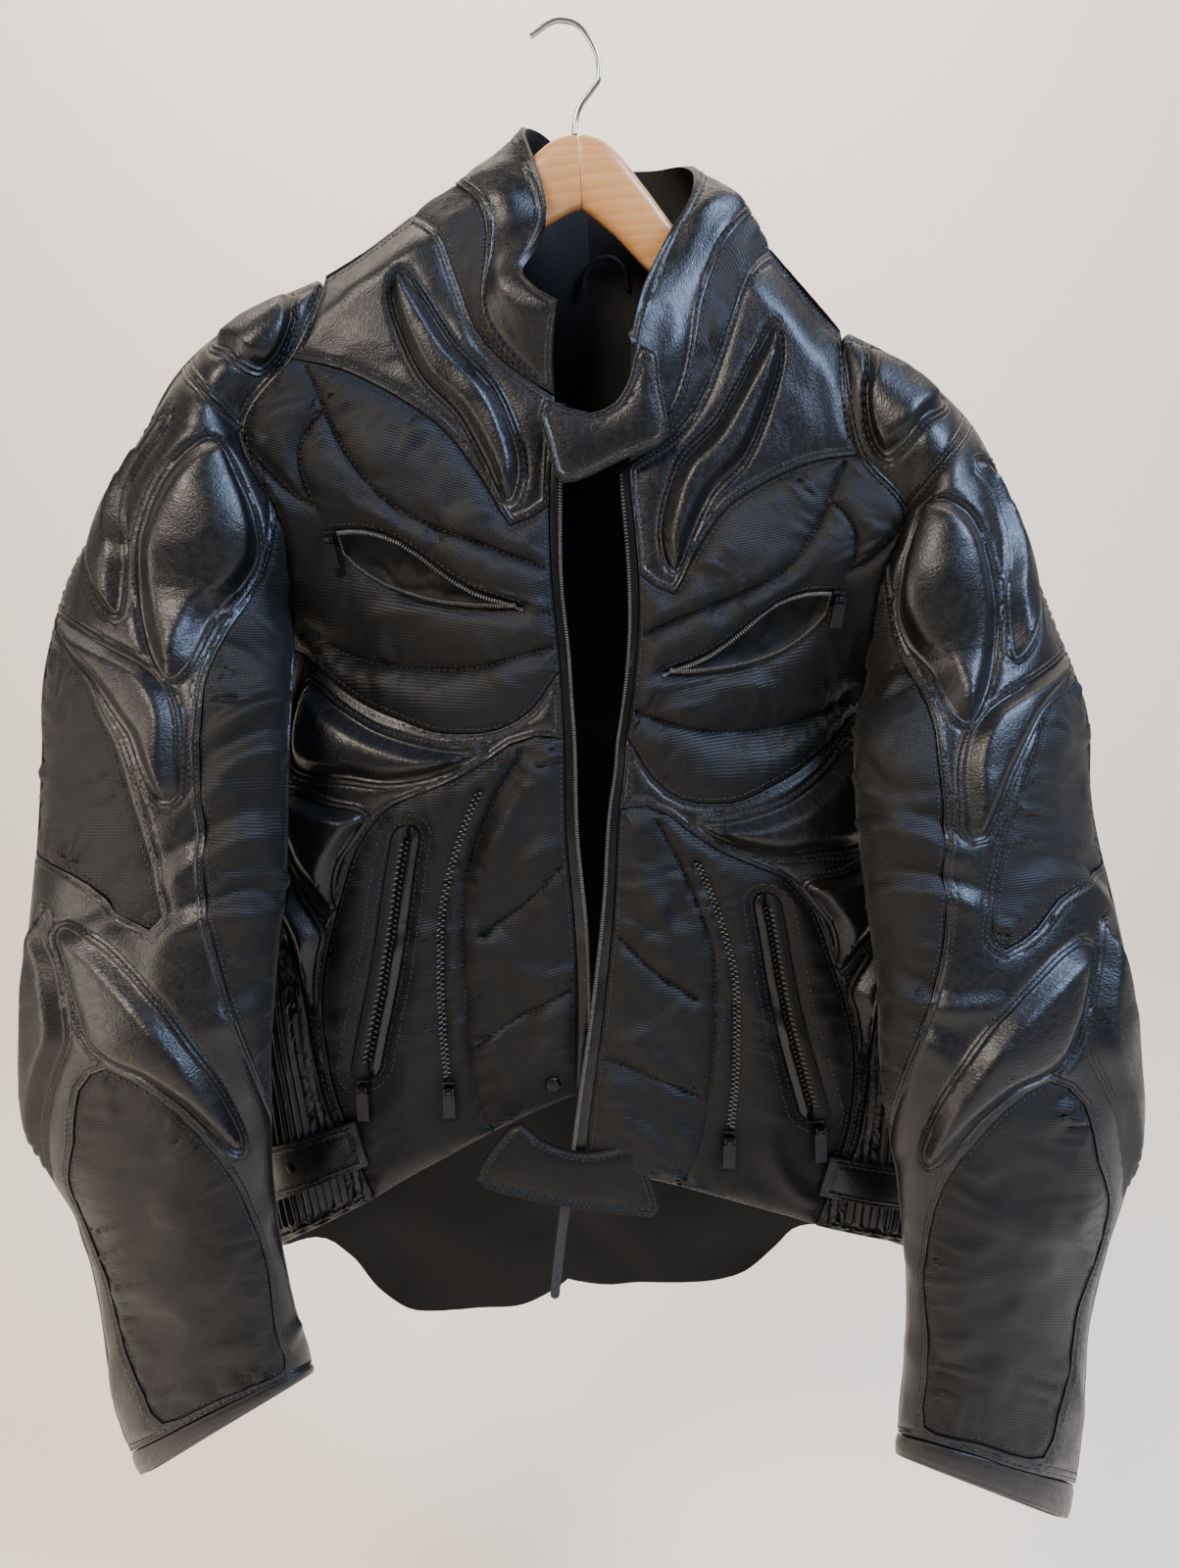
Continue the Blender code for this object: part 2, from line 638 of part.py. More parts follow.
def outer_dots(piece):
    """The lines and dots that the relief needs, then a honeycomb between them."""
    lines = [(loop, True) for loop, _, _ in piece["pods"]] + [(line, False) for line in piece["quilts"]]
    kept = []
    for loop, _, run in piece["pods"]:
        for reach in (0.45 * run, run):
            dots = drawn_in(loop, reach)
            good = inside(dots, loop) & (distance(dots, loop, True) > 0.8 * reach) & within(piece, dots, 3.0)
            for dot in dots[good]:
                if not kept or np.linalg.norm(np.array(kept) - dot, axis=1).min() > 2.0:
                    kept.append(dot)
    kept = np.array(kept).reshape(-1, 2)
    taken = np.concatenate([line for line, _ in lines] + [kept]) if lines else kept
    if piece["ribs"]:
        low, high = piece["rims"][0].min(0), piece["rims"][0].max(0)
        rows = np.arange(low[0], high[0], RIB_ROW)
        dots = np.array([(s, a + s * RIB_SLANT) for s in rows for a in rib_columns(low, high)])
        return lines, dots[within(piece, dots, 0.8)]
    return lines, np.concatenate([kept, grid_dots(piece, piece["gap"], taken)])


def sew(piece, tree, aims):
    """Make one piece's closed solid. Two rims that meet split their four-sided faces along one diagonal."""
    lines, dots = outer_dots(piece)
    flat, faces, rim = triangles(piece, lines, dots)
    inner_flat, inner_faces, inner_rim = triangles(piece, [], grid_dots(piece, piece["inner_gap"], []))
    aim = wall_directions(piece, flat, tree, aims, OUTER_REACH)
    outer = on_surface(piece, flat) + aim * (piece["lift"] + relief(piece, flat))[:, None]
    inner_aim = wall_directions(piece, inner_flat, tree, aims, INNER_REACH)
    inner = on_surface(piece, inner_flat) + inner_aim * (piece["lift"] - piece["wall"])
    shift = len(outer)
    solid = [tuple(face) for face in faces.tolist()]
    solid += [(c + shift, b + shift, a + shift) for a, b, c in inner_faces.tolist()]
    order = outer @ np.array(DIAGONAL)
    first = 0
    for number, loop in enumerate(piece["rims"]):
        for i in range(len(loop)):
            here, there = first + i, first + (i + 1) % len(loop)
            if number:
                here, there = there, here
            a, b, c, d = rim[there], rim[here], inner_rim[here] + shift, inner_rim[there] + shift
            solid += [(a, b, c), (a, c, d)] if order[a] > order[b] else [(b, c, d), (a, b, d)]
        first += len(loop)
    return make_object(piece["name"], np.concatenate([outer, inner]), solid, piece["kind"])


# The pattern, drawn once for both sides

FORE, AFT = (0, -1, 0), (0, 1, 0)
ARMHOLE_S = np.array((6, 22, 40, 58, 76, 94, 112, 123, 134, 152, 170, 190, 203, 213), float)
CORNER_CUT = 0.8
SIDE_S = np.array((213, 220, 228, 250, 272, 300, 335, 370, 400, 435, 470, 505, 545), float)
RIB_PITCH = 4.2
RIB_HEIGHT = 2.2
RIB_ROW = 26.0
RIB_SLANT = -0.12

YOKE_SEAM = smooth_line(
    [(58, 200), (60, 152), (66, 120), (74, 92), (84, 66), (97, 48), (112, 34), (131, 23), (122, 10),
     (112, 0)]
)
BAND_TOP = smooth_line(
    [(224, 0), (252, 20), (264, 42), (265, 66), (263, 84), (257, 104), (250, 128), (240, 154),
     (230, 178), (228, 200)]
)
BAND_FOOT = smooth_line(
    [(272, 0), (269, 18), (273, 34), (283, 50), (293, 72), (300, 96), (307, 112), (328, 127), (352, 134),
     (386, 143), (412, 146), (444, 144), (474, 140), (508, 131)]
)
RIB_EDGE = smooth_line([(376, 170), (396, 160), (428, 154), (474, 147), (497, 140), (508, 131)])
RIB_HEM = smooth_line([(508, 131), (530, 126), (545, 122)])
HEM = smooth_line([(545, 122), (541, 80), (538, 40), (541, 0)])
MOUTH = joined(
    smooth_line([(184, 20), (180, 52), (170, 76), (159, 98), (157, 122), (162, 147)]),
    smooth_line([(162, 147), (176, 144), (187, 122), (192, 100), (193, 72), (189, 36), (184, 20)]),
)
SPEAR = [(-6, 124), (8, 126), (32, 110), (57, 87), (75, 57), (96, 37), (116, 24), (100, 18), (82, 23),
         (58, 42), (38, 72), (10, 102)]
FINS = (
    [(242, 174), (252, 147), (262, 121), (269, 96), (274, 74), (277, 54), (282, 64), (287, 84),
     (288, 108), (283, 133), (274, 170)],
    [(290, 176), (300, 144), (308, 124), (322, 131), (336, 139), (352, 141), (366, 138), (350, 152),
     (328, 166)],
    [(336, 170), (358, 158), (376, 148), (390, 150), (408, 151), (424, 150), (404, 158), (380, 164),
     (358, 172)],
)
CHEST_QUILTS = (
    [(62, 178), (83, 146), (112, 117), (134, 99), (144, 76), (150, 40), (156, 4)],
    [(124, 194), (144, 172), (150, 156)],
    [(90, 140), (118, 150), (146, 156)],
    [(216, 178), (224, 158), (229, 136), (231, 110), (231, 84), (227, 52), (216, 24), (206, 4)],
)
LOWER_QUILTS = (
    [(278, 26), (308, 43), (356, 60), (390, 64), (430, 64), (486, 62), (520, 56), (536, 50)],
    [(300, 52), (326, 62), (356, 71), (385, 76), (436, 77), (486, 75)],
    [(358, 4), (378, 26), (394, 52)],
    [(446, 4), (456, 34), (466, 58)],
)
POCKET_ZIP = ((326, 97), (394, 107), (462, 121))
POCKET_WELT = 8.5
ZIP_TAPE = (-0.6, -9.0)
BELT = ((492, 128), (492, 184), (521, 184), (521, 122))

CAP_SEAM = smooth_line([(92, 0), (95, 48), (95, 110), (92, 170)])
CAP_POD = [(24, 140), (30, 66), (42, 38), (58, 28), (64, 44), (68, 86), (70, 136)]
BIG_POD = [(124, 56), (143, 84), (165, 100), (190, 106), (215, 105), (242, 100), (266, 92), (280, 84),
           (270, 77), (240, 68), (218, 50), (203, 38), (185, 34), (160, 33), (134, 38)]
OUTER_CRESCENT = [(118, 116), (140, 130), (164, 134), (184, 128), (202, 117), (222, 114), (242, 113),
                  (234, 126), (216, 142), (196, 152), (172, 158), (146, 152), (126, 138)]
MID_CRESCENT = [(246, 158), (256, 126), (270, 98), (286, 86), (306, 81), (334, 80), (356, 80), (360, 86),
                (342, 94), (314, 103), (282, 118), (262, 142)]
OUTER_INSERT = smooth_line(
    [(258, 170), (270, 138), (284, 122), (304, 116), (332, 107), (364, 98), (396, 90), (428, 83),
     (436, 88), (424, 104), (408, 118), (396, 140), (388, 170)]
)
INNER_STRIP = smooth_line(
    [(206, 28), (222, 42), (248, 60), (274, 67), (306, 69), (340, 70), (384, 66), (412, 64), (456, 54),
     (500, 40), (534, 22), (558, 0)]
)
ELBOW_SPEAR = [(436, 128), (442, 114), (461, 98), (488, 80), (518, 64), (548, 48), (568, 39), (575, 43),
               (564, 56), (546, 71), (530, 87), (521, 101), (506, 112), (486, 118), (456, 126)]
ELBOW_OUTER = [(424, 144), (446, 136), (470, 129), (502, 126), (522, 133), (546, 142), (572, 150),
               (594, 160), (560, 162), (500, 160), (450, 156)]
FOREARM_INSERT = smooth_line(
    [(524, 104), (542, 82), (560, 68), (580, 54), (604, 42), (632, 34), (656, 31), (690, 36), (730, 40),
     (764, 41), (766, 80), (764, 121), (740, 128), (714, 136), (690, 142), (668, 143), (640, 151),
     (610, 148), (572, 127), (538, 120)],
    14.0, True,
)


def rib_columns(low, high):
    """Where the ribs' crests and valleys cross the chart, a half pitch apart."""
    return np.arange(low[1] - 60, high[1] + 130, RIB_PITCH / 2)


def rib_wave(flat):
    """The ribs' height: they run down the piece, slanting a little."""
    return RIB_HEIGHT * (0.5 - 0.5 * np.cos(2 * math.pi * (flat[:, 1] - flat[:, 0] * RIB_SLANT) / RIB_PITCH))


def edge(stations, a, start, end):
    """A piece's edge down one side of its chart, through the stations between start and end."""
    between = [s for s in stations if min(start, end) + 0.5 < s < max(start, end) - 0.5]
    between = sorted([start, end, *between], reverse=bool(start > end))
    return np.array([(s, a) for s in between])


def ring_round(line, reach, count=5):
    """An outline round a short line, at the same reach from it all along, with rounded ends."""
    line = np.array(line, float)
    run = np.gradient(line, axis=0)
    run /= np.linalg.norm(run, axis=1)[:, None]
    side = np.stack([-run[:, 1], run[:, 0]], 1) * reach
    far, near = math.atan2(*side[-1][::-1]), math.atan2(*(-side[0])[::-1])
    end = [line[-1] + reach * np.array((math.cos(far - t), math.sin(far - t)))
           for t in np.linspace(0, math.pi, count + 2)[1:-1]]
    start = [line[0] + reach * np.array((math.cos(near - t), math.sin(near - t)))
             for t in np.linspace(0, math.pi, count + 2)[1:-1]]
    return np.concatenate([line + side, end, (line - side)[::-1], start])


def front_pieces(side):
    """The front of one side: yoke, chest, leather band, ribs, lower panel and what lies on them."""
    surface = partial(front_point, side)
    welt = ring_round(smooth_line(POCKET_ZIP, 14.0), POCKET_WELT)
    a = np.linspace(NECK[1], FRONT_WIDTH, 7)
    shoulder = np.stack([shoulder_seam(a), a], 1)
    side_edge = partial(edge, SIDE_S, FRONT_WIDTH)
    arm_edge = partial(edge, ARMHOLE_S, FRONT_WIDTH)
    cloth(
        side + "_yoke", surface,
        joined(shoulder, arm_edge(0, 58), YOKE_SEAM, straight((112, 0), (58, 0)), NECKLINE),
        "leather", FORE, pods=[(SPEAR, 6.0, 9.0)],
    )
    chest = joined(YOKE_SEAM[::-1], arm_edge(58, PIT), side_edge(PIT, 228), BAND_TOP[::-1],
                   straight((224, 0), (112, 0)))
    chest[(chest == (PIT, FRONT_WIDTH)).all(1), 1] -= CORNER_CUT
    cloth(
        side + "_chest", surface, chest,
        "textile", FORE, holes=[MOUTH], quilts=CHEST_QUILTS, roll=3.0, extra=[(203, 187), (216, 187)],
    )
    cloth(side + "_chest_pocket", surface, MOUTH, "lining", FORE, lift=-WALL - 0.3, sewn=False, wall=1.2)
    cloth(
        side + "_band", surface,
        joined(BAND_TOP, side_edge(228, 400), straight((400, 200), (376, 170)), RIB_EDGE, BAND_FOOT[::-1],
               straight((272, 0), (224, 0))),
        "leather", FORE, pods=[(fin, 7.0, 8.0) for fin in FINS],
    )
    cloth(
        side + "_ribs", surface,
        joined(straight((376, 170), (400, 200)), side_edge(400, 545), straight((545, 200), (545, 122)),
               RIB_HEM[::-1], RIB_EDGE[::-1]),
        "leather", FORE, ribs=rib_wave,
    )
    cloth(
        side + "_lower", surface,
        joined(BAND_FOOT, RIB_HEM, HEM, straight((541, 0), (272, 0))),
        "textile", FORE, holes=[welt], quilts=LOWER_QUILTS, roll=1.6,
    )
    cloth(side + "_pocket_welt", surface, welt, "textile", FORE, lift=1.0, wall=3.0, sewn=False, gap=9.0,
          quilts=[POCKET_ZIP], roll=1.6)
    cloth(
        side + "_belt", surface,
        joined(straight(BELT[0], BELT[1]), straight(BELT[1], BELT[2]), straight(BELT[2], BELT[3]),
               straight(BELT[3], BELT[0])),
        "leather", FORE, lift=5.0, sewn=False,
    )
    cloth(
        side + "_zip_strip", surface,
        joined(straight((60, ZIP_TAPE[0]), (536, ZIP_TAPE[0]), 22.0),
               straight((536, ZIP_TAPE[1]), (60, ZIP_TAPE[1]), 22.0)),
        "tape", FORE, wall=1.4, sewn=False, gap=30.0,
    )


def sleeve_pieces(side):
    """One sleeve: cap, arm, two textile inserts, forearm insert, back half and cuff."""
    fore = partial(sleeve_point, side, "fore")
    aft = partial(sleeve_point, side, "aft")
    rows = np.linspace(0, SLEEVE_PIT, 400)
    stations = np.interp(ARMHOLE_S, row_at(SLEEVE_ROWS[side], rows)["seat"], rows)
    start, cap = stations[0], 92.0
    strip_start = stations[list(ARMHOLE_S).index(152)]
    inner = np.concatenate([stations, [241, 249, 258, 270], np.arange(288, 558, 24), [558],
                            np.arange(580, CUFF_TOP, 24)])
    outer = np.concatenate([np.linspace(start, cap, 5), np.linspace(cap, 258, 8), np.linspace(258, 388, 7),
                            np.linspace(388, CUFF_TOP, 17)])
    strip_head = smooth_line([(strip_start, 0), (188, 14), tuple(INNER_STRIP[0])])
    strip = np.concatenate([strip_head[:-1], INNER_STRIP])
    cuff = straight((CUFF_TOP, 0), (CUFF_TOP, SLEEVE_SPAN), 21.25)
    shared = {"width": sleeve_width(side, "fore")}
    cloth(
        side + "_cap", fore,
        joined(CAP_SEAM, edge(outer, SLEEVE_SPAN, cap, start),
               straight((start, SLEEVE_SPAN), (start, 0), 200), edge(inner, 0, start, cap)),
        "leather", FORE, pods=[(CAP_POD, 5.0, 8.0)], gap=20.0, **shared,
    )
    cloth(
        side + "_arm", fore,
        joined(edge(inner, 0, cap, strip_start), strip, edge(inner, 0, 558, CUFF_TOP), cuff,
               edge(outer, SLEEVE_SPAN, CUFF_TOP, 388), OUTER_INSERT[::-1],
               edge(outer, SLEEVE_SPAN, 258, cap), CAP_SEAM[::-1]),
        "leather", FORE, holes=[FOREARM_INSERT],
        pods=[(BIG_POD, 9.0, 12.0), (OUTER_CRESCENT, 6.0, 8.0), (MID_CRESCENT, 6.0, 8.0),
              (ELBOW_SPEAR, 6.0, 8.0), (ELBOW_OUTER, 6.0, 8.0)],
        **shared,
    )
    cloth(side + "_inner_strip", fore, joined(edge(inner, 0, strip_start, 558), strip[::-1]), "textile", FORE,
          **shared)
    cloth(side + "_outer_insert", fore, joined(OUTER_INSERT, edge(outer, SLEEVE_SPAN, 388, 258)), "textile",
          FORE, **shared)
    cloth(side + "_forearm_insert", fore, FOREARM_INSERT, "textile", FORE, **shared)
    cloth(
        side + "_sleeve_back", aft,
        joined(edge(inner, 0, start, CUFF_TOP), cuff, edge(outer, SLEEVE_SPAN, CUFF_TOP, start),
               straight((start, SLEEVE_SPAN), (start, 0), 200)),
        "leather", AFT, gap=28.0, inner_gap=38.0, width=sleeve_width(side, "aft"),
    )
    return fore, aft


def cuff_band(side, fore, aft):
    """The cuff: one band round the sleeve's end, a closed ring with a wall."""
    across = np.linspace(0, SLEEVE_SPAN, 9)
    rows = (CUFF_TOP + 3 * SEAM, CUFF_END)
    rings = []
    for lift in (0.6, -WALL):
        for s in rows:
            ring = []
            for surface, a_list in ((fore, across), (aft, across[-2:0:-1])):
                s_list = np.full(len(a_list), s)
                middle = surface(s_list, a_list)
                down = surface(s_list + 1, a_list) - surface(s_list - 1, a_list)
                ring.append((middle, down))
            points = np.concatenate([part for part, _ in ring])
            down = np.concatenate([part for _, part in ring])
            along_ring = np.roll(points, -1, 0) - np.roll(points, 1, 0)
            out = np.cross(down, along_ring)
            out /= np.linalg.norm(out, axis=1)[:, None]
            if ((points - points.mean(0)) * out).sum() < 0:
                out = -out
            rings.append(points + out * lift)
    count = len(rings[0])
    faces = []
    for one, other in ((0, 1), (1, 3), (3, 2), (2, 0)):
        for i in range(count):
            j = (i + 1) % count
            faces.append((one * count + i, one * count + j, other * count + j, other * count + i))
    make_object(side + "_cuff", np.concatenate(rings), faces, "leather")


TAIL = smooth_line(
    [(545, 0), (547, 40), (565, 60), (593, 76), (616, 94), (630, 112), (648, 140), (671, 170),
     (680, 196), (672, 216), (654, 234), (636, 257), (626, 270), (609, 285), (581, 301), (558, 314),
     (547, 340), (545, 400)], 22.0,
)


def back_piece():
    """The back: one panel from the shoulder seams and neckline to the long rounded tail."""
    a = np.linspace(FRONT_WIDTH, NECK[1], 7)
    half = np.stack([shoulder_seam(a), FRONT_WIDTH - a], 1)
    neck = np.concatenate([back_neck("left", np.linspace(0, 1, 7)),
                           back_neck("right", np.linspace(1, 0, 7))[1:]])
    right_half = np.stack([half[:, 0], BACK_SPAN - half[:, 1]], 1)[::-1]
    stations = np.concatenate([[0], ARMHOLE_S, SIDE_S])
    cloth(
        "back", back_point,
        joined(half, neck, right_half, edge(stations, BACK_SPAN, 0, 545), TAIL[::-1],
               edge(stations, 0, 545, 0)),
        "textile", AFT, gap=32.0, inner_gap=38.0,
        extra=[(s, b) for s in (200, 216, 232, 250) for b in (12, BACK_SPAN - 12)],
    )


COLLAR_BREAK = [(8, 2), (30, 8), (50, 15), (75, 25), (100, 27), (126, 23), (160, 19), (230, 16)]


def collar_pieces(side):
    """Half the collar: a textile band sewn to the neckline, and the leather collar above it."""
    surface = partial(collar_point, side)
    facing = (OUTWARD[side], 0, 0.3)
    steps = np.concatenate([[0], np.cumsum(np.linalg.norm(np.diff(NECKLINE, axis=0), axis=1))])
    front_s = steps[1:] / steps[-1] * COLLAR_AT_SHOULDER
    seam_s = np.concatenate([front_s, np.linspace(COLLAR_AT_SHOULDER, COLLAR_LENGTH, 7)[1:]])
    break_line = smooth_line(COLLAR_BREAK, 14.0)
    top = straight((0, COLLAR_HEIGHT), (230, COLLAR_HEIGHT), 14.0)
    low = np.array([(s, 0) for s in seam_s])
    cloth(side + "_collar_band", surface,
          joined(low, straight((230, 0), (230, 16), 16), break_line[::-1]), "textile", facing, gap=18.0)
    cloth(side + "_collar", surface,
          joined(break_line, straight((230, 16), (230, COLLAR_HEIGHT), 14.0), top[::-1],
                 straight((0, COLLAR_HEIGHT), (0, 2), 12.0)), "leather", facing, gap=18.0)


TAB = [(33, -172), (43, -177), (44, -193), (47, -225), (22, -236), (-15, -248), (-24, -223), (-28, -209),
       (-24, -199), (-11, -205), (3, -209), (18, -204), (27, -190)]
TAB_DEPTH = -48.2
PATCH = [(-95, -682), (-72, -648), (-64, -645), (-52, -657), (-33, -666), (-15, -667), (8, -662),
         (11, -666), (22, -709), (17, -714), (-34, -705), (-64, -697)]
PATCH_DEPTH = -59.6
PATCH_LEAN = 0.03
PATCH_WALL = 1.6
STRAP = ((-33, -676), (-41, -715), (-49, -765))
STRAP_HALF = 3.2


def loose_pieces():
    """The neck tab, the bare patch on the right front's corner and the strap that hangs behind it."""
    cloth("neck_tab", partial(plane_point, TAB_DEPTH, 0), smooth_line(TAB, 10.0, True), "leather", FORE,
          sewn=False, gap=16.0)
    cloth("patch", partial(plane_point, PATCH_DEPTH, PATCH_LEAN), smooth_line(PATCH, 12.0, True),
          "leather", FORE, sewn=False, wall=PATCH_WALL)
    cloth("strap", partial(plane_point, PATCH_DEPTH + PATCH_WALL + 0.7, PATCH_LEAN),
          ring_round(smooth_line(STRAP, 22.0), STRAP_HALF, 3), "leather", FORE, sewn=False,
          wall=PATCH_WALL, gap=30.0)


# Hard pieces: hanger, sliders, pull tabs, snaps and the hanging loop

WOOD_ROWS = table(
    "x top low half",
    (-124, -124.5, -137, 3.5),
    (-110, -117.5, -134, 6),
    (-90, -112.5, -130, 6),
    (-71, -113, -129, 6),
    (-48, -92, -120, 6.5),
    (-24, -70, -109, 7),
    (-11, -61, -103, 7),
    (2, -58, -98, 7),
    (19, -63, -110, 7),
    (41, -89, -133, 6.5),
    (57, -111, -145, 6),
    (81, -133, -154, 6),
    (104, -142.5, -161, 6),
    (126, -155, -169, 3.5),
)
HOOK_WIRE = 1.6
HOOK = [(-20, -6), (-15, -3), (-10, 0), (-3, 1.6), (6, -1), (13, -9), (17, -19), (17, -29), (13, -35),
        (6, -43), (3, -50), (2, -57.7)]
LOOP = [(2, -141), (4, -132), (9, -126), (15, -124), (21, -125), (26, -131), (28, -142)]
LOOP_DEPTH = 40.3
LOOP_CORD = 1.6
PIN = 0.8
RING_IN, RING_OUT = 1.25, 2.2
PIN_HEIGHT = 5.2


def hanger_wood():
    """The wooden hanger: one bar, its rounded sections lofted from tip to tip."""
    stations = np.linspace(WOOD_ROWS["x"][0], WOOD_ROWS["x"][-1], 19)
    turns = np.linspace(0, 2 * math.pi, 13)[:-1]
    points, faces = [], []
    for x in stations:
        row = {name: float(along(WOOD_ROWS["x"], column, x)) for name, column in WOOD_ROWS.items()}
        middle, tall = (row["top"] + row["low"]) / 2, (row["top"] - row["low"]) / 2
        for turn in turns:
            c, s = math.cos(turn), math.sin(turn)
            y = row["half"] * math.copysign(abs(c) ** 0.6, c)
            points.append((x, y, middle + tall * math.copysign(abs(s) ** 0.75, s)))
    count = len(turns)
    for k in range(len(stations) - 1):
        for i in range(count):
            j = (i + 1) % count
            faces.append((k * count + i, k * count + j, (k + 1) * count + j, (k + 1) * count + i))
    faces.append(tuple(range(count))[::-1])
    faces.append(tuple((len(stations) - 1) * count + i for i in range(count)))
    make_object("hanger_wood", points, faces, "maple")


def tube(name, points, radius, kind, sides=2):
    """A bent wire or cord: a curve with a round bevel and closed ends."""
    curve = bpy.data.curves.new(name, "CURVE")
    curve.dimensions = "3D"
    curve.bevel_depth = radius / 1000
    curve.bevel_resolution = sides
    curve.use_fill_caps = True
    spline = curve.splines.new("POLY")
    spline.points.add(len(points) - 1)
    for spot, point in zip(spline.points, points):
        spot.co = (*(np.array(point) / 1000), 1)
    curve.materials.append(finish(name, kind))
    piece = bpy.data.objects.new(name, curve)
    bpy.context.scene.collection.objects.link(piece)
    return piece


def hanger_hook():
    """The steel hook: its lower end stands on the wood, and its upper one is bent round the rail."""
    line = smooth_line(HOOK, 6.0)
    tube("hanger_hook", [(u, 0, v) for u, v in line], HOOK_WIRE, "steel")


def turned(profile, count=12):
    """A round solid about the Y axis from (radius, y) points: its points and faces."""
    points, faces = [], []
    for radius, y in profile:
        for i in range(count):
            angle = 2 * math.pi * i / count
            points.append((radius * math.cos(angle), y, radius * math.sin(angle)))
    for k in range(len(profile) - 1):
        for i in range(count):
            j = (i + 1) % count
            faces.append((k * count + i, k * count + j, (k + 1) * count + j, (k + 1) * count + i))
    faces.append(tuple(range(count))[::-1])
    faces.append(tuple((len(profile) - 1) * count + i for i in range(count)))
    return points, faces


def block(low, high):
    """A box from its two corners: its points and faces."""
    points = [(x, y, z) for z in (low[2], high[2]) for y in (low[1], high[1]) for x in (low[0], high[0])]
    faces = [(0, 1, 3, 2), (4, 6, 7, 5), (0, 4, 5, 1), (2, 3, 7, 6), (0, 2, 6, 4), (1, 5, 7, 3)]
    return points, faces


def rod(radius, half, count=8):
    """A round bar along X."""
    points = [(x, radius * math.cos(2 * math.pi * i / count), radius * math.sin(2 * math.pi * i / count))
              for x in (-half, half) for i in range(count)]
    faces = [(i, (i + 1) % count, count + (i + 1) % count, count + i) for i in range(count)]
    return points, [*faces, tuple(range(count))[::-1], tuple(range(count, 2 * count))]


def ring(inner, outer, half, count=10):
    """A round eye whose hole runs along X."""
    points, faces = [], []
    for x, radius in ((-half, inner), (-half, outer), (half, outer), (half, inner)):
        for i in range(count):
            angle = 2 * math.pi * i / count
            points.append((x, radius * math.cos(angle), radius * math.sin(angle)))
    for k in range(4):
        for i in range(count):
            j, n = (i + 1) % count, (k + 1) % 4
            faces.append((k * count + i, k * count + j, n * count + j, n * count + i))
    return points, faces


def fused(name, kind, shapes):
    """Overlapping simple shapes made one body with Boolean unions, which the object keeps."""
    piece = make_object(name, *shapes[0], kind)
    for number, shape in enumerate(shapes[1:]):
        cutter = make_object(f"{name}_with_{number}", *shape, kind)
        cutter.hide_render = True
        cutter.display_type = "WIRE"
        cutter.parent = piece
        union = piece.modifiers.new(f"join {number}", "BOOLEAN")
        union.operation = "UNION"
        union.object = cutter
    return piece


def place_on(surface, s, a, facing, lift):
    """A frame on a piece: X across it, -Y outward, Z up it, at a height over its outer layer."""
    north, south, west, east, centre = surface(
        np.array([s - 1, s + 1, s, s, s], float), np.array([a, a, a - 1, a + 1, a], float)
    )
    down, across = south - north, east - west
    out = np.cross(down, across)
    out /= np.linalg.norm(out)
    if out @ np.array(facing, float) < 0:
        out = -out
    up = -down / np.linalg.norm(down)
    side = np.cross(-out, up)
    place = Matrix.Identity(4)
    for column, axis in enumerate((side, -out, up)):
        for row in range(3):
            place[row][column] = axis[row]
    middle = (centre + out * lift) / 1000
    for row in range(3):
        place[row][3] = middle[row]
    return place


def snap(name, place):
    """A press snap's cap: a shallow turned disc that lies on the cloth."""
    piece = make_object(name, *turned([(4.6, 0), (4.8, -0.8), (3.8, -2.0), (1.6, -2.4)]), "dark_metal")
    piece.matrix_world = place


SNAPS = (
    ("hem_snap", 520, 14, 2.0),
    ("left_belt_snap", 506, 166, 5.4),
)
# Name, place on the front's chart, height of the cloth there, and length of the pull tab
SLIDERS = (
    ("pocket", 474, 122.5, 0.9, 20.0),
    ("side_zip", 492, 74.0, 0.9, 17.0),
    ("chest_zip", 167, 150.0, 1.6, 16.0),
)


def zip_slider(name, place, pull_length):
    """A slider whose bridge pin carries a pull tab. Both are made about the pin, where the tab swings."""
    low = PIN_HEIGHT - 0.4
    body = block((-3.6, low - 2.2, -4.5), (3.6, low, 4.5))
    lugs = [block((x - 0.6, -1.6, -1.8), (x + 0.6, low - 1.2, 1.8)) for x in (-2.6, 2.6)]
    slider = fused(name + "_slider", "dark_metal", [body, *lugs, rod(PIN, 2.9)])
    slider.matrix_world = place
    plate = block((-3.6, -0.8, -pull_length), (3.6, 0.6, -RING_OUT - 0.5))
    neck = block((-1.4, -0.8, -RING_OUT - 0.7), (1.4, 0.6, -RING_IN - 0.3))
    tab = fused(name + "_pull", "dark_metal", [plate, neck, ring(RING_IN, RING_OUT, 1.5)])
    tab.matrix_world = place


def hard_pieces():
    """Everything that isn't cloth."""
    hanger_wood()
    hanger_hook()
    u, v = smooth_line(LOOP, 6.0).T
    bow = 3 * np.sin(math.pi * (u - LOOP[0][0]) / (LOOP[-1][0] - LOOP[0][0]))
    tube("hanging_loop", seen(u, v, LOOP_DEPTH - bow), LOOP_CORD, "textile")
    for side in SIDES:
        for kind, s, a, lift, length in SLIDERS:
            place = place_on(partial(front_point, side), s, a, FORE, PIN_HEIGHT + lift)
            zip_slider(f"{side}_{kind}", place, length)
    for name, s, a, lift in SNAPS:
        snap(name, place_on(partial(front_point, "left"), s, a, FORE, lift))


def main():
    for thing in list(bpy.data.objects):
        bpy.data.objects.remove(thing)
    for side in SIDES:
        front_pieces(side)
        cuff_band(side, *sleeve_pieces(side))
        collar_pieces(side)
    back_piece()
    loose_pieces()
    tree, aims = seam_directions()
    for piece in CLOTH:
        sew(piece, tree, aims)
    hard_pieces()


main()
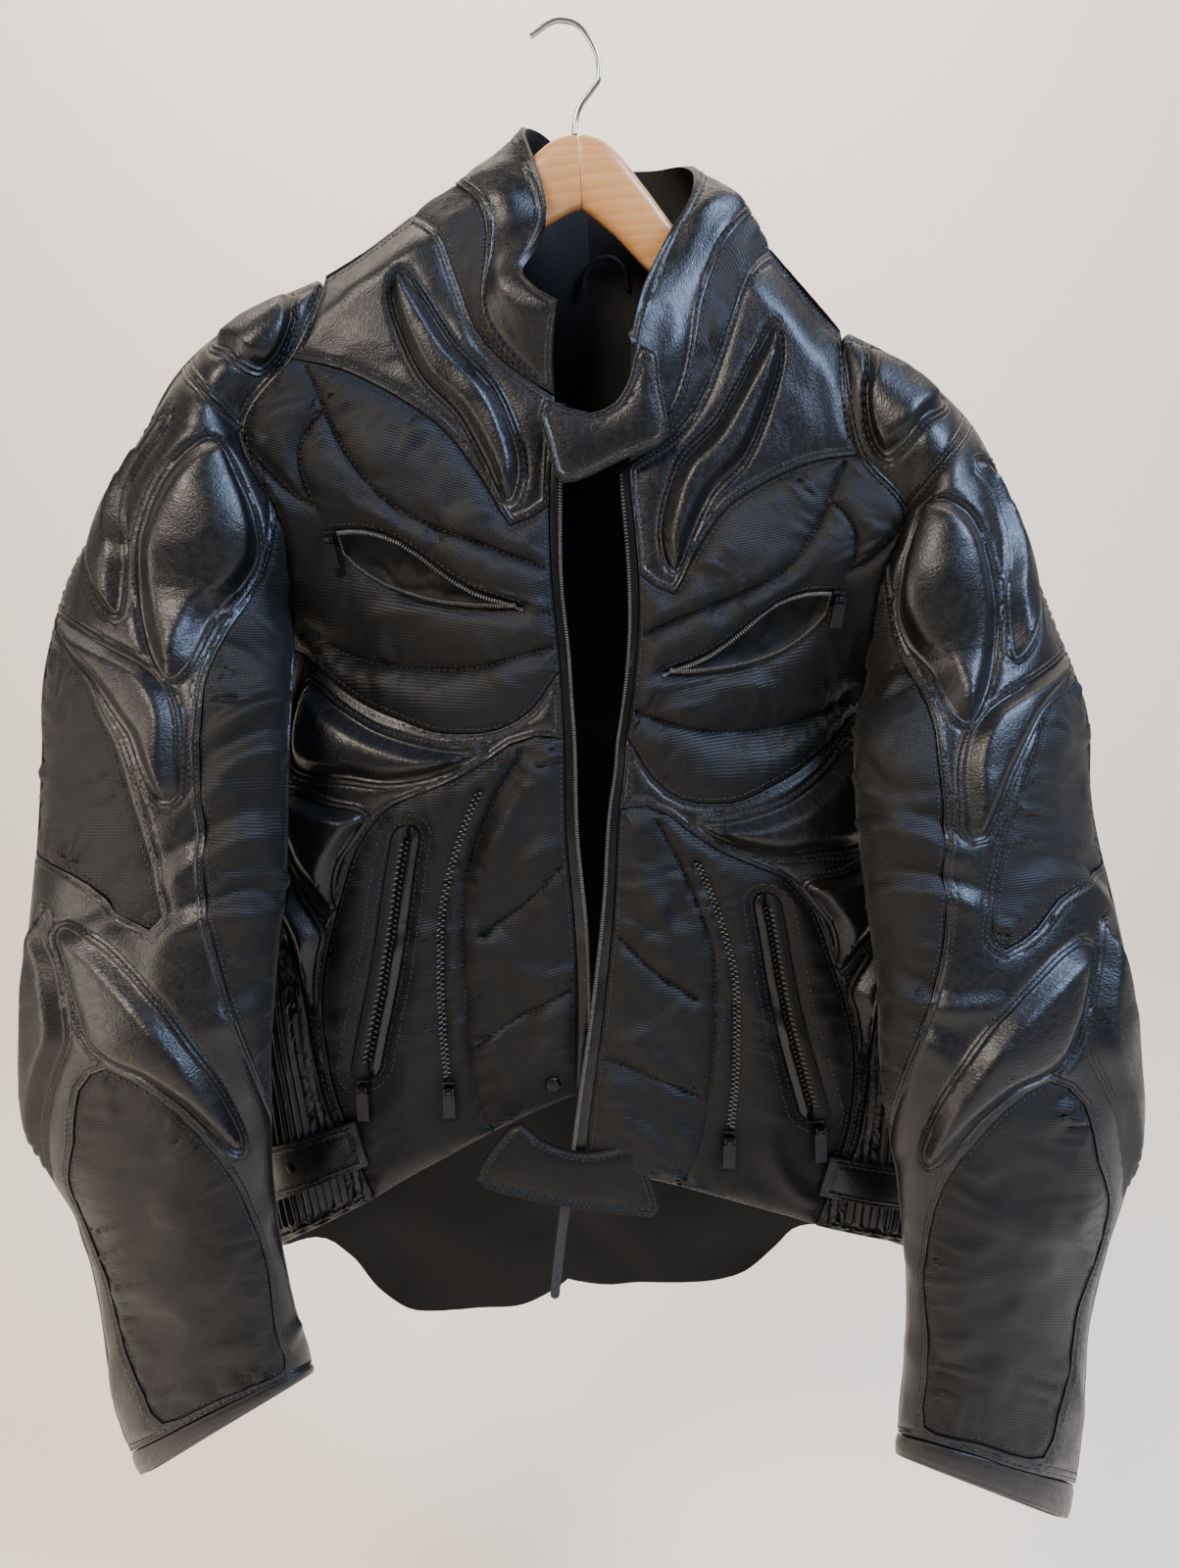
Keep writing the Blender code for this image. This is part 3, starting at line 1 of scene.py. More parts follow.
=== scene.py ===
# %% [markdown]
# # A leather motorcycle jacket on a wooden hanger
#
# The real jacket is cut from black leather and ribbed nylon, padded under raised leather pods, and it
# hangs open from a maple hanger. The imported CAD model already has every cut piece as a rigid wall. This
# lesson makes each of them again as cloth, from the same pattern, with seams, stitching, zips and folds.

# %% Setup
import math
from functools import partial

import bmesh
import bpy
import numpy as np
from mathutils import Matrix, Vector, kdtree
from mathutils.geometry import delaunay_2d_cdt


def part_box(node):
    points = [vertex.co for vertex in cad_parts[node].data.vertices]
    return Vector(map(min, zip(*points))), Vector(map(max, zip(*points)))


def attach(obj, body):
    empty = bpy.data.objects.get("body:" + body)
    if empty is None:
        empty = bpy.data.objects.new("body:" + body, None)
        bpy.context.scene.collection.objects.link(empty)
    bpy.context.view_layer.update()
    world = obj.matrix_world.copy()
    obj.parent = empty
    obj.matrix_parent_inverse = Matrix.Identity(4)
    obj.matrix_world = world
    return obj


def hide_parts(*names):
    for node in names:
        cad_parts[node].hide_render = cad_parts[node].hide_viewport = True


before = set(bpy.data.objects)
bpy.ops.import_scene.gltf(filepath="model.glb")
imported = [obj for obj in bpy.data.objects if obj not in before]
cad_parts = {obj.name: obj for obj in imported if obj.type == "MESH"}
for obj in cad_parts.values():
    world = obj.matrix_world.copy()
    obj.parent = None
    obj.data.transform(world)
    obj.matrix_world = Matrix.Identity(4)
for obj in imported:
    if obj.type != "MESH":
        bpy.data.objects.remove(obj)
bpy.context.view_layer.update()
bpy.ops.object.select_all(action="DESELECT")
print("CAD nodes:", len(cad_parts))

# Lengths in this lesson are millimetres. EYE is where the photo was taken from, WALL is the thickness of
# the lined cloth, and SEAM is half the gap between two pieces that are sewn together.
SIDES = ("left", "right")
METAL = ("_slider", "_pull", "_snap")
OUTWARD = {"left": -1, "right": 1}
EYE = np.array((-8.5, -712.0, -315.0))
WALL = 2.0
SEAM = 0.17
FORE, AFT = (0, -1, 0), (0, 1, 0)

# %% [markdown]
# ## Tools for tables and curves
#
# A pattern is a set of curves on flat cloth. These few helpers read a short table as smooth columns, draw
# smooth lines through points, and offset an outline, so that every later step can be written in
# millimetres on the pattern. Drawing each curve by hand in edit mode would lose the exact seams.

# %% Short tables, smooth steps and directions
def table(names, *rows):
    """A short table: each named column as an array."""
    return dict(zip(names.split(), np.array(rows, float).T))


def both_sides(names, *rows):
    """A table for each side, from one whose columns are shared or begin with the side's name."""
    columns = table(names, *rows)
    return {
        side: {name.removeprefix(side + "_"): column for name, column in columns.items()
               if not name.startswith(other + "_")}
        for side, other in zip(SIDES, SIDES[::-1])
    }


def along(xs, ys, x):
    """The smooth curve through a column's rows, read at x, and straight on past its two ends."""
    x = np.asarray(x, float)
    slopes = np.gradient(ys, xs)
    i = np.clip(np.searchsorted(xs, x, "right") - 1, 0, len(xs) - 2)
    step = xs[i + 1] - xs[i]
    t = np.clip((x - xs[i]) / step, 0, 1)
    curve = (
        ys[i] * (1 + 2 * t) * (1 - t) ** 2
        + ys[i + 1] * (3 - 2 * t) * t**2
        + step * slopes[i] * t * (1 - t) ** 2
        - step * slopes[i + 1] * (1 - t) * t**2
    )
    past = slopes[0] * np.minimum(x - xs[0], 0) + slopes[-1] * np.maximum(x - xs[-1], 0)
    return curve + past


def row_at(rows, s):
    """Every column of a row table, read at s."""
    return {name: along(rows["s"], column, s) for name, column in rows.items()}


def ease(t):
    """0 to 1 with no corner at either end."""
    t = np.clip(t, 0, 1)
    return t * t * (3 - 2 * t)


def bump(x, middle, width):
    """A smooth ridge of height 1."""
    return np.exp(-(((x - middle) / width) ** 2))


def grown(gap, reach):
    """0 on an edge, rising fast at first, and nearly 1 at three times the reach from it."""
    return 1 - np.exp(-gap / reach)


def unit(vectors):
    """The same directions with length 1."""
    return vectors / np.maximum(np.linalg.norm(vectors, axis=-1), 1e-9)[..., None]


def left_of(run):
    """The flat direction at a right angle to each flat direction."""
    return np.stack([-run[:, 1], run[:, 0]], 1)


def turning(loop):
    """Positive when a closed outline runs anticlockwise, and negative when it runs clockwise."""
    return np.cross(loop, np.roll(loop, -1, 0)).sum()


def crossed(corners):
    """The cross product of two sides of each triangle: it is twice as long as the triangle's area."""
    return np.cross(corners[:, 1] - corners[:, 0], corners[:, 2] - corners[:, 0])


def lengths(line):
    """How far along a line each of its points lies."""
    return np.concatenate([[0], np.cumsum(np.linalg.norm(np.diff(line, axis=0), axis=1))])


def read_along(line, at):
    """The points of a flat line at the given distances along it."""
    length = lengths(line)
    return np.stack([np.interp(at, length, line[:, i]) for i in (0, 1)], 1)


def seen(u, v, y):
    """The point at depth y that is seen over (u, v) on the drawing plane."""
    u, v, y = np.broadcast_arrays(np.asarray(u, float), v, y)
    depth = (y - EYE[1]) / -EYE[1]
    return np.stack([EYE[0] + (u - EYE[0]) * depth, y, EYE[2] + (v - EYE[2]) * depth], -1)


# %% Lines and outlines
def quarter_section(width, depth, power):
    """A rounded section from the flat middle to the side, by its length: across 0 to 1, depth 1 to 0."""
    angle = np.linspace(0, math.pi / 2, 200)
    across, front = np.sin(angle) ** (2 / power), np.cos(angle) ** (2 / power)
    steps = np.hypot(np.diff(across) * width, np.diff(front) * depth)
    length = np.concatenate([[0], np.cumsum(steps)])
    return length / length[-1], across, front


def smooth_line(points, step=11.0, closed=False):
    """A curve through a few points, with a new point about every step."""
    points = np.array(points, float)
    if closed:
        around = np.concatenate([points[-1:], points, points[:2]])
    else:
        around = np.concatenate([2 * points[:1] - points[1:2], points, 2 * points[-1:] - points[-2:-1]])
    line = []
    for before, start, end, after in zip(around, around[1:], around[2:], around[3:]):
        count = max(1, round(float(np.linalg.norm(end - start)) / step))
        for t in np.arange(count) / count:
            bend = (2 * before - 5 * start + 4 * end - after) * t**2
            twist = (3 * start - before - 3 * end + after) * t**3
            line.append(0.5 * (2 * start + (end - before) * t + bend + twist))
    if not closed:
        line.append(points[-1])
    return np.array(line)


def straight(start, end, step=16.0):
    """Evenly spaced points from start to end."""
    start, end = np.array(start, float), np.array(end, float)
    count = max(1, round(float(np.linalg.norm(end - start)) / step))
    return start + (end - start) * np.linspace(0, 1, count + 1)[:, None]


def joined(*lines):
    """One closed outline from lines that meet end to end."""
    points = []
    for line in lines:
        for point in line:
            if not points or np.linalg.norm(point - points[-1]) > 0.5:
                points.append(point)
    if np.linalg.norm(points[0] - points[-1]) < 0.5:
        points.pop()
    return np.array(points)


def inside(points, loop):
    """Whether each point is inside a closed outline."""
    (x0, y0), (x1, y1) = loop.T, np.roll(loop, -1, 0).T
    found = []
    with np.errstate(divide="ignore", invalid="ignore"):
        for start in range(0, len(points), 4000):
            x, y = points[start:start + 4000, :1], points[start:start + 4000, 1:]
            crosses = (y0 > y) != (y1 > y)
            found.append((crosses & (x < x0 + (y - y0) * (x1 - x0) / (y1 - y0))).sum(1) % 2 == 1)
    return np.concatenate(found) if found else np.zeros(0, bool)


def drawn_in(loop, by):
    """A closed outline moved inward by a small distance."""
    inward = left_of(unit(np.roll(loop, -1, 0) - loop)) * np.sign(turning(loop))
    before = np.roll(inward, 1, 0)
    miter = (before + inward) / np.maximum(1 + (before * inward).sum(1), 0.25)[:, None]
    return loop + miter * by


# %% How far points are from a line, and slow waves
TREES = {}
READ_STEP = 0.5


def tree_of(points):
    """A search tree of flat points."""
    tree = kdtree.KDTree(len(points))
    for index, (x, y) in enumerate(points.tolist()):
        tree.insert((x, y, 0), index)
    tree.balance()
    return tree


def near(points, line, closed=False):
    """For each point its distance from a line, how far along the line it lies, and on which side.

    A line is read once at points READ_STEP apart and kept in TREES, because many steps ask for it again.
    Past its ends, and past a corner, the distance to the nearest point is used in place of the offset.
    """
    key = line.tobytes(), closed
    if key not in TREES:
        line = np.concatenate([line, line[:1]]) if closed else line
        total = lengths(line)[-1]
        at = np.linspace(0, total, max(3, int(total / READ_STEP)))
        fine = read_along(line, at)
        TREES[key] = tree_of(fine), fine, at, unit(np.gradient(fine, axis=0))
    tree, fine, at, run = TREES[key]
    nearest = np.array([tree.find((x, y, 0))[1] for x, y in points.tolist()], int)
    run, off = run[nearest], points - fine[nearest]
    side = run[:, 0] * off[:, 1] - run[:, 1] * off[:, 0]
    beyond = np.abs((run * off).sum(1)) > 1.2 * READ_STEP
    return np.where(beyond, np.linalg.norm(off, axis=1), np.abs(side)), at[nearest], side


def spaced(line, step, closed=False):
    """The same line with a point at every step, and its old corners left where they are."""
    ends = np.roll(line, -1, 0) if closed else line[1:]
    starts = line if closed else line[:-1]
    points = [
        start + (end - start) * k / count
        for start, end in zip(starts, ends)
        for count in [max(1, round(float(np.linalg.norm(end - start)) / step))]
        for k in range(count)
    ]
    return np.array(points if closed else [*points, line[-1]])


def ripple(points, size, seed):
    """Smooth uneven waves, about -1 to 1, whose length is near size. It has no repeat and no random draw."""
    total = np.zeros(len(points))
    for k in range(7):
        angle, tilt = 2.399 * k + seed, 0.9 * math.sin(1.7 * k + seed)
        wave = np.array((math.cos(angle), math.sin(angle), tilt))[: points.shape[1]]
        rate = 2 * math.pi / size * (0.75 + 0.09 * k)
        total += np.sin(points @ wave * rate + 5.1 * k + 1.3 * seed + 0.8 * np.sin(total))
    return total / 4

# %% [markdown]
# ## Charts
#
# Cloth is described on charts: s runs down a piece in millimetres and a runs across it. A chart's rows say
# where its two edges lie, as (u, v) on an upright drawing plane through the hook, seen from the eye, and
# how far behind that plane they are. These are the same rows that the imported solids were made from.

# %% Rows of the front, the sleeve, the back and the collar
FRONT_ROWS = both_sides(
    "s side_y left_cf_u left_cf_v left_cf_y left_side_u left_side_v "
    "right_cf_u right_cf_v right_cf_y right_side_u right_side_v",
    (0, -22, -9, -142, -28, -144, -127, 26, -180, -28, 149, -171),
    (55, -27, -17, -196, -34, -166, -168, 24, -236, -34, 157, -238),
    (112, -31, -24, -260, -39, -199, -208, 27, -302, -39, 184, -277),
    (168, -28, -25, -308, -42, -181, -266, 24, -350, -42, 170, -318),
    (213, -6, -23, -350, -44, -182, -316, 17, -392, -44, 162, -372),
    (226, 5, -23, -360, -45, -183, -334, 15, -402, -45, 160, -388),
    (246, 9, -23, -377, -45, -187, -364, 13, -420, -45, 163, -420),
    (272, 10, -23, -399, -45, -197, -403, 9, -444, -46, 170, -468),
    (335, 10, -25, -457, -45, -211, -472, 3, -503, -48, 180, -531),
    (403, 10, -23, -520, -44, -221, -547, -6, -566, -51, 187, -602),
    (470, 10, -24, -578, -42, -227, -625, -16, -624, -54, 193, -668),
    (540, 10, -28, -627, -40, -226, -714, -25, -677, -56, 195, -742),
)
FRONT_WIDTH = 200.0
PIT = 213.0
NECK = (-42.0, 128.0)
SHOULDER_DROP = 35.0
FRONT_SECTION = quarter_section(FRONT_WIDTH, 45, 3.2)
ARMHOLE_RATE = 1.16

# Above the armpit a sleeve row's inner edge is sewn to the front's row "seat". Below it, the inner edge
# is the fold that the sleeve shows beside the front. "fore" and "aft" are how far the tube rounds out.
SLEEVE_ROWS = both_sides(
    "s seat fore aft out_y in_y left_out_u left_out_v left_in_u left_in_v "
    "right_out_u right_out_v right_in_u right_in_v",
    (0, 0, 4, 4, 0, -6, -144, -127, -182, -316, 149, -171, 162, -372),
    (40, 48, 20, 20, 0, -6, -181, -142, -182, -316, 183, -190, 162, -372),
    (92, 112, 30, 30, -2, -6, -227, -171, -182, -316, 222, -225, 162, -372),
    (138, 134, 38, 36, -5, -6, -259, -212, -182, -316, 241, -259, 162, -372),
    (192, 170, 46, 38, -10, -6, -292, -263, -182, -316, 260, -312, 162, -372),
    (234, 213, 50, 34, -14, -6, -313, -296, -182, -316, 277, -352, 162, -372),
    (246, 213, 50, 32, -16, -24, -319, -310, -182, -330, 282, -364, 159, -384),
    (278, 213, 50, 32, -22, -44, -332, -345, -185, -354, 294, -395, 155, -406),
    (330, 213, 48, 34, -30, -60, -337, -392, -190, -391, 298, -444, 155, -449),
    (388, 213, 46, 34, -38, -70, -348, -452, -199, -460, 306, -494, 160, -505),
    (452, 213, 46, 34, -46, -78, -363, -517, -211, -526, 321, -564, 167, -562),
    (520, 213, 46, 34, -54, -82, -372, -588, -220, -593, 328, -636, 170, -624),
    (582, 213, 42, 34, -60, -82, -370, -651, -227, -662, 326, -703, 178, -695),
    (632, 213, 38, 32, -64, -80, -353, -700, -228, -714, 313, -751, 183, -750),
    (680, 213, 35, 30, -66, -76, -347, -751, -223, -762, 300, -806, 184, -796),
    (745, 213, 32, 27, -66, -70, -343, -833, -215, -794, 298, -881, 178, -853),
    (790, 213, 30, 25, -66, -68, -333, -881, -213, -813, 289, -951, 175, -896),
)
SLEEVE_SPAN = 170.0
SLEEVE_PIT = 234.0
CUFF_TOP = 773.0
CUFF_END = 790.0

BACK_SPAN = 400.0
BACK_MIDDLE = 10.0
BACK_SWELL = 42.0
BACK_ARM_BOW = 14.0
BACK_ARM_DEPTH = 34.0

# How far a shape takes to change into the next one: the armhole's section into the side seam's, the two
# fronts' own edges into their middle behind the neck, and the round sleeve into the sewn-on cap.
SECTION_BLEND = 60.0
NECK_BLEND = 100.0
CAP_BLEND = 150.0

COLLAR_ROWS = both_sides(
    "s swell left_top_u left_top_v left_top_y "
    "right_top_u right_top_v right_top_y",
    (0, 2, -13, -146, -47, 31, -171, -47),
    (28, 3, -28, -136, -45, 30, -163, -45),
    (50, 4, -34, -126, -41, 34, -149, -41),
    (72, 6, -24, -115, -32, 40, -135, -32),
    (95, 8, -17, -101, -18, 51, -116, -18),
    (120, 10, -18, -84, -16, 65, -96, -8),
    (145, 12, -24, -67, -12, 69, -82, 8),
    (166, 10, -28, -54, 0, 63, -78, 26),
    (190, 6, -20, -56, 28, 45, -80, 38),
    (210, 3, -8, -66, 42, 24, -79, 44),
    (230, 0, 6, -77, 46, 6, -77, 46),
)
COLLAR_HEIGHT = 60.0
COLLAR_LENGTH = 230.0
COLLAR_AT_SHOULDER = 128.0
NECKLINE = smooth_line([(58, 0), (44, 34), (26, 58), (-4, 80), (-34, 104), NECK])


# %% The torso's chart: front and back
def across_by_armhole(a):
    """How far across the torso a lies at the height of the armholes, 0 to 1."""
    q = np.clip(a / FRONT_WIDTH, 0, 1)
    return q * (ARMHOLE_RATE - (ARMHOLE_RATE - 1) * q**3)


def shoulder_seam(a):
    """The row on which the shoulder seam lies."""
    return NECK[0] * (1 - across_by_armhole(a)) / (1 - across_by_armhole(NECK[1]))


def under_shoulder(s, a):
    """0 on the shoulder seam, 1 from SHOULDER_DROP below it: how far the cloth has fallen away from it."""
    return np.sin(math.pi / 2 * np.clip((s - shoulder_seam(a)) / SHOULDER_DROP, 0, 1))


def closing(s):
    """0 along the armhole, 1 down the side seam, where front and back are joined."""
    return ease((s - PIT) / SECTION_BLEND)


def section(s, a):
    """The torso's section at a: how far across it is, 0 to 1, and how far forward, 1 to 0."""
    length, across, front = FRONT_SECTION
    q = np.clip(a / FRONT_WIDTH, 0, 1)
    shut = closing(s)
    t = np.interp(q, length, across) * shut + across_by_armhole(a) * (1 - shut)
    return t, np.interp(q, length, front) * shut + (1 - t * t) * (1 - shut)


def front_point(side, s, a):
    """The front: a is 0 at the centre front edge and FRONT_WIDTH at the armhole and side seam."""
    row = row_at(FRONT_ROWS[side], s)
    a = np.minimum(a, FRONT_WIDTH)
    t, depth = section(s, a)
    t = t + np.minimum(a, 0) / FRONT_WIDTH
    y = row["side_y"] + (row["cf_y"] - row["side_y"]) * depth
    u = row["cf_u"] + (row["side_u"] - row["cf_u"]) * t
    v = row["cf_v"] + (row["side_v"] - row["cf_v"]) * t
    return seen(u, v, y * under_shoulder(s, a))


def back_edge(side, s):
    """The back's armhole and side seam, as (u, v, y)."""
    row = row_at(FRONT_ROWS[side], s)
    tip = row_at(FRONT_ROWS[side], 0.0)
    pit = row_at(FRONT_ROWS[side], PIT)
    k = s / PIT
    bow = np.sin(math.pi * np.clip(k, 0, 1))
    u = tip["side_u"] + (pit["side_u"] - tip["side_u"]) * k - OUTWARD[side] * BACK_ARM_BOW * bow
    v = tip["side_v"] + (pit["side_v"] - tip["side_v"]) * k
    y = np.clip(k, 0, 1) * pit["side_y"] + BACK_ARM_DEPTH * bow
    shared = (s > PIT) | (s < 0)
    return (
        np.where(shared, row["side_u"], u),
        np.where(shared, row["side_v"], v),
        np.where(s > PIT, row["side_y"], y),
    )


def back_point(s, b):
    """The back, from the viewer's left side seam, b = 0, to the right one, b = BACK_SPAN.

    Its two shoulder seams lie on those of the fronts: there it is measured from the front's own edge,
    and lower down from the middle between the two fronts' edges.
    """
    sides = {side: back_edge(side, s) for side in SIDES}
    edges = {side: row_at(FRONT_ROWS[side], s) for side in SIDES}
    on_left = b < BACK_SPAN / 2
    from_side = np.minimum(b, BACK_SPAN - b)
    a = FRONT_WIDTH - from_side
    side_u, side_v, side_y = (np.where(on_left, sides["left"][i], sides["right"][i]) for i in range(3))
    own_u = np.where(on_left, edges["left"]["cf_u"], edges["right"]["cf_u"])
    own_v = np.where(on_left, edges["left"]["cf_v"], edges["right"]["cf_v"])
    middle_u = (edges["left"]["cf_u"] + edges["right"]["cf_u"]) / 2
    middle_v = (edges["left"]["cf_v"] + edges["right"]["cf_v"]) / 2
    low = ease((s - shoulder_seam(a)) / NECK_BLEND)
    pole_u, pole_v = own_u + (middle_u - own_u) * low, own_v + (middle_v - own_v) * low
    t, depth = section(s, a)
    y = BACK_MIDDLE + (side_y - BACK_MIDDLE) * t**2 + BACK_SWELL * depth * (0.85 + 0.15 * closing(s))
    u, v = pole_u + (side_u - pole_u) * t, pole_v + (side_v - pole_v) * t
    return seen(u, v, y * under_shoulder(s, a))


# %% The charts of the sleeve, the collar and flat pieces
def sleeve_point(side, face, s, a):
    """A sleeve: face is "fore" or "aft", and a is 0 at the inner edge and SLEEVE_SPAN at the outer one."""
    row = row_at(SLEEVE_ROWS[side], s)
    a = np.clip(a, 0, SLEEVE_SPAN)
    seat = np.clip(row["seat"], 0, PIT)
    if face == "fore":
        front = row_at(FRONT_ROWS[side], seat)
        edge_u, edge_v, edge_y = front["side_u"], front["side_v"], front["side_y"]
    else:
        edge_u, edge_v, edge_y = back_edge(side, seat)
    edge_y = edge_y * under_shoulder(seat, np.full_like(seat, FRONT_WIDTH))
    above = s <= SLEEVE_PIT
    in_u = np.where(above, edge_u, row["in_u"])
    in_v = np.where(above, edge_v, row["in_v"])
    in_y = np.where(above, edge_y, row["in_y"])
    q = a / SLEEVE_SPAN
    sewn = np.clip((SLEEVE_PIT - s) / CAP_BLEND, 0, 1)
    t = (1 - np.cos(math.pi * q)) / 2 * (1 - sewn) + np.sin(math.pi / 2 * q) * sewn
    swell = np.sin(math.pi * q)
    swell = swell * (1 - sewn) + np.where(q < 0.5, swell**1.5, swell) * sewn
    out = row["fore"] if face == "fore" else -row["aft"]
    y = in_y + (row["out_y"] - in_y) * t - out * swell
    return seen(in_u + (row["out_u"] - in_u) * t, in_v + (row["out_v"] - in_v) * t, y)


def sleeve_width(side, face):
    """How wide the sleeve's cloth really is at each row, as a function of s, for one unit of a."""
    rows = np.linspace(0, CUFF_END, 80)
    across = np.linspace(0, SLEEVE_SPAN, 60)
    grid = sleeve_point(side, face, *np.meshgrid(rows, across, indexing="ij"))
    widths = np.linalg.norm(np.diff(grid, axis=1), axis=2).sum(1)
    return partial(np.interp, xp=rows, fp=widths / SLEEVE_SPAN)


def neck_seam(side, s):
    """Where the collar is sewn on, as a point, from the front end round to the centre back."""
    at = np.clip(s / COLLAR_AT_SHOULDER, 0, 1) * lengths(NECKLINE)[-1]
    front = front_point(side, *read_along(NECKLINE, at).T)
    back = back_neck(side, np.clip((s - COLLAR_AT_SHOULDER) / (COLLAR_LENGTH - COLLAR_AT_SHOULDER), 0, 1))
    return np.where((s <= COLLAR_AT_SHOULDER)[..., None], front, back_point(back[..., 0], back[..., 1]))


def back_neck(side, k):
    """The back's neckline on its chart, from the shoulder seam, k = 0, to the centre back."""
    from_side = FRONT_WIDTH - NECK[1] + (BACK_SPAN / 2 - FRONT_WIDTH + NECK[1]) * k
    b = from_side if side == "left" else BACK_SPAN - from_side
    return np.stack([NECK[0] + (12 - NECK[0]) * np.sin(math.pi / 2 * k) ** 1.5, b], -1)


def collar_point(side, s, a):
    """Half the collar: s runs from its front end to the centre back, and a from its seam to its top."""
    row = row_at(COLLAR_ROWS[side], s)
    seam = neck_seam(side, s)
    top = seen(row["top_u"], row["top_v"], row["top_y"])
    f = (a / COLLAR_HEIGHT)[..., None]
    rise = top - seam
    out = np.stack([OUTWARD[side] * abs(rise[..., 2]), 0 * rise[..., 0], abs(rise[..., 0])], -1)
    out /= np.maximum(np.linalg.norm(out, axis=-1), 1)[..., None]
    return seam + rise * f + out * row["swell"][..., None] * np.sin(math.pi * np.clip(f, 0, 1))


def plane_point(depth, lean, u, v):
    """A flat surface charted by the drawing plane: depth is its y at u = 0, and lean how y grows with u."""
    return seen(u, v, depth + lean * u)


for side in SIDES:
    print(side, "sleeve front at the cuff, mm:", round(SLEEVE_SPAN * sleeve_width(side, "fore")(CUFF_TOP)))

# %% [markdown]
# ## Finishes
#
# The leather is smooth, drum-dyed cowhide with a thin satin coat: it is nearly black, and its look comes
# from broad soft highlights that break up a little on the grain. The textile is ribbed nylon, matt and
# still darker, with a faint sheen where it turns away. Each material reads the piece's own UV map, which
# holds the flat pattern in metres, so grain and weave run with the cut and never slide.

# %% Colour and node helpers
def linear(code):
    """An sRGB hex colour as linear RGBA."""
    parts = [int(code[i:i + 2], 16) / 255 for i in (1, 3, 5)]
    return (*[c / 12.92 if c <= 0.04045 else ((c + 0.055) / 1.055) ** 2.4 for c in parts], 1)


def add(tree, kind, inputs=(), **settings):
    """Add one node with its settings, and set or link its inputs."""
    node = tree.nodes.new(kind)
    for key, value in settings.items():
        setattr(node, key, value)
    for key, value in dict(inputs).items():
        socket = node.inputs[key]
        if isinstance(value, bpy.types.NodeSocket):
            tree.links.new(value, socket)
        else:
            socket.default_value = value
    return node


def start(name, roughness, metallic=0.0, **sockets):
    """A new material: its node tree and its shader."""
    material = bpy.data.materials.new(name)
    material.use_nodes = True
    tree = material.node_tree
    shader = tree.nodes["Principled BSDF"]
    shader.inputs["Roughness"].default_value = roughness
    shader.inputs["Metallic"].default_value = metallic
    for key, value in sockets.items():
        shader.inputs[key.replace("_", " ")].default_value = value
    return material, tree, shader


def product(tree, one, other):
    """Two grey values multiplied."""
    return add(tree, "ShaderNodeMath", {0: one, 1: other}, operation="MULTIPLY").outputs[0]


def shades(tree, shader, factor, dark, light):
    """Colour between two sRGB hex colours."""
    ramp = add(tree, "ShaderNodeValToRGB", {"Fac": factor})
    ramp.color_ramp.elements[0].color, ramp.color_ramp.elements[1].color = linear(dark), linear(light)
    tree.links.new(ramp.outputs["Color"], shader.inputs["Base Color"])


def bumps(tree, shader, height, strength, distance, **below):
    """Tilt the shader's normal by a height that is distance metres tall, and return that normal."""
    inputs = {"Height": height, "Strength": strength, "Distance": distance, **below}
    node = add(tree, "ShaderNodeBump", inputs)
    tree.links.new(node.outputs["Normal"], shader.inputs["Normal"])
    return node.outputs["Normal"]


WAVE = 0.314  # metres between two bands of a wave texture whose scale is 1


# %% Leather: full-grain cowhide with a satin coat. Its pebbles are 0.7 mm wide, drawn at 1.2 mm to show
def leather(name, dark, light, roughness, grain=0.0012, strength=0.36, gloss=0.36):
    """Pebbles and creases in its height, and slow clouds in its colour."""
    material, tree, shader = start(name, roughness, Specular_IOR_Level=gloss, IOR=1.5, Coat_Weight=0.06,
                                   Coat_Roughness=0.3)
    uv = add(tree, "ShaderNodeUVMap", uv_map="pattern").outputs["UV"]
    pebbles = add(tree, "ShaderNodeTexVoronoi", {"Vector": uv, "Scale": 1 / grain})
    clouds = add(tree, "ShaderNodeTexNoise", {"Vector": uv, "Scale": 1 / 0.045, "Detail": 5.0})
    creases = add(tree, "ShaderNodeTexNoise", {"Vector": uv, "Scale": 1 / 0.004, "Detail": 7.0,
                                               "Distortion": 0.6})
    shades(tree, shader, clouds.outputs["Fac"], dark, light)
    rough = add(tree, "ShaderNodeMapRange", {
        "Value": creases.outputs["Fac"], "From Min": 0.35, "From Max": 0.65,
        "To Min": roughness - strength / 6, "To Max": roughness + strength / 5,
    })
    tree.links.new(rough.outputs["Result"], shader.inputs["Roughness"])
    grained = bumps(tree, shader, pebbles.outputs["Distance"], strength, 0.0004)
    bumps(tree, shader, creases.outputs["Fac"], strength / 2, 0.0005, Normal=grained)
    return material


# %% Ribbed nylon: weft ribs 1 mm apart, drawn at 1.7 mm to show, over finer warp threads
def textile(name, dark, light, rib=0.0017, sheen=0.04, strength=0.5, roughness=0.52, gloss=0.2):
    """Ribs across the piece over finer threads down it, worn unevenly."""
    material, tree, shader = start(name, roughness, Sheen_Weight=sheen, Sheen_Roughness=0.45,
                                   Specular_IOR_Level=gloss)
    uv = add(tree, "ShaderNodeUVMap", uv_map="pattern").outputs["UV"]
    ribs = add(tree, "ShaderNodeTexWave", {"Vector": uv, "Scale": WAVE / rib, "Distortion": 0.3,
                                           "Detail": 2.0, "Detail Scale": 3.0}, bands_direction="X")
    warp = add(tree, "ShaderNodeTexWave", {"Vector": uv, "Scale": WAVE / rib * 1.6}, bands_direction="Y")
    clouds = add(tree, "ShaderNodeTexNoise", {"Vector": uv, "Scale": 1 / 0.02, "Detail": 6.0})
    weave = product(tree, ribs.outputs["Fac"], warp.outputs["Fac"])
    shades(tree, shader, product(tree, weave, clouds.outputs["Fac"]), dark, light)
    bumps(tree, shader, weave, strength, 0.0005)
    return material


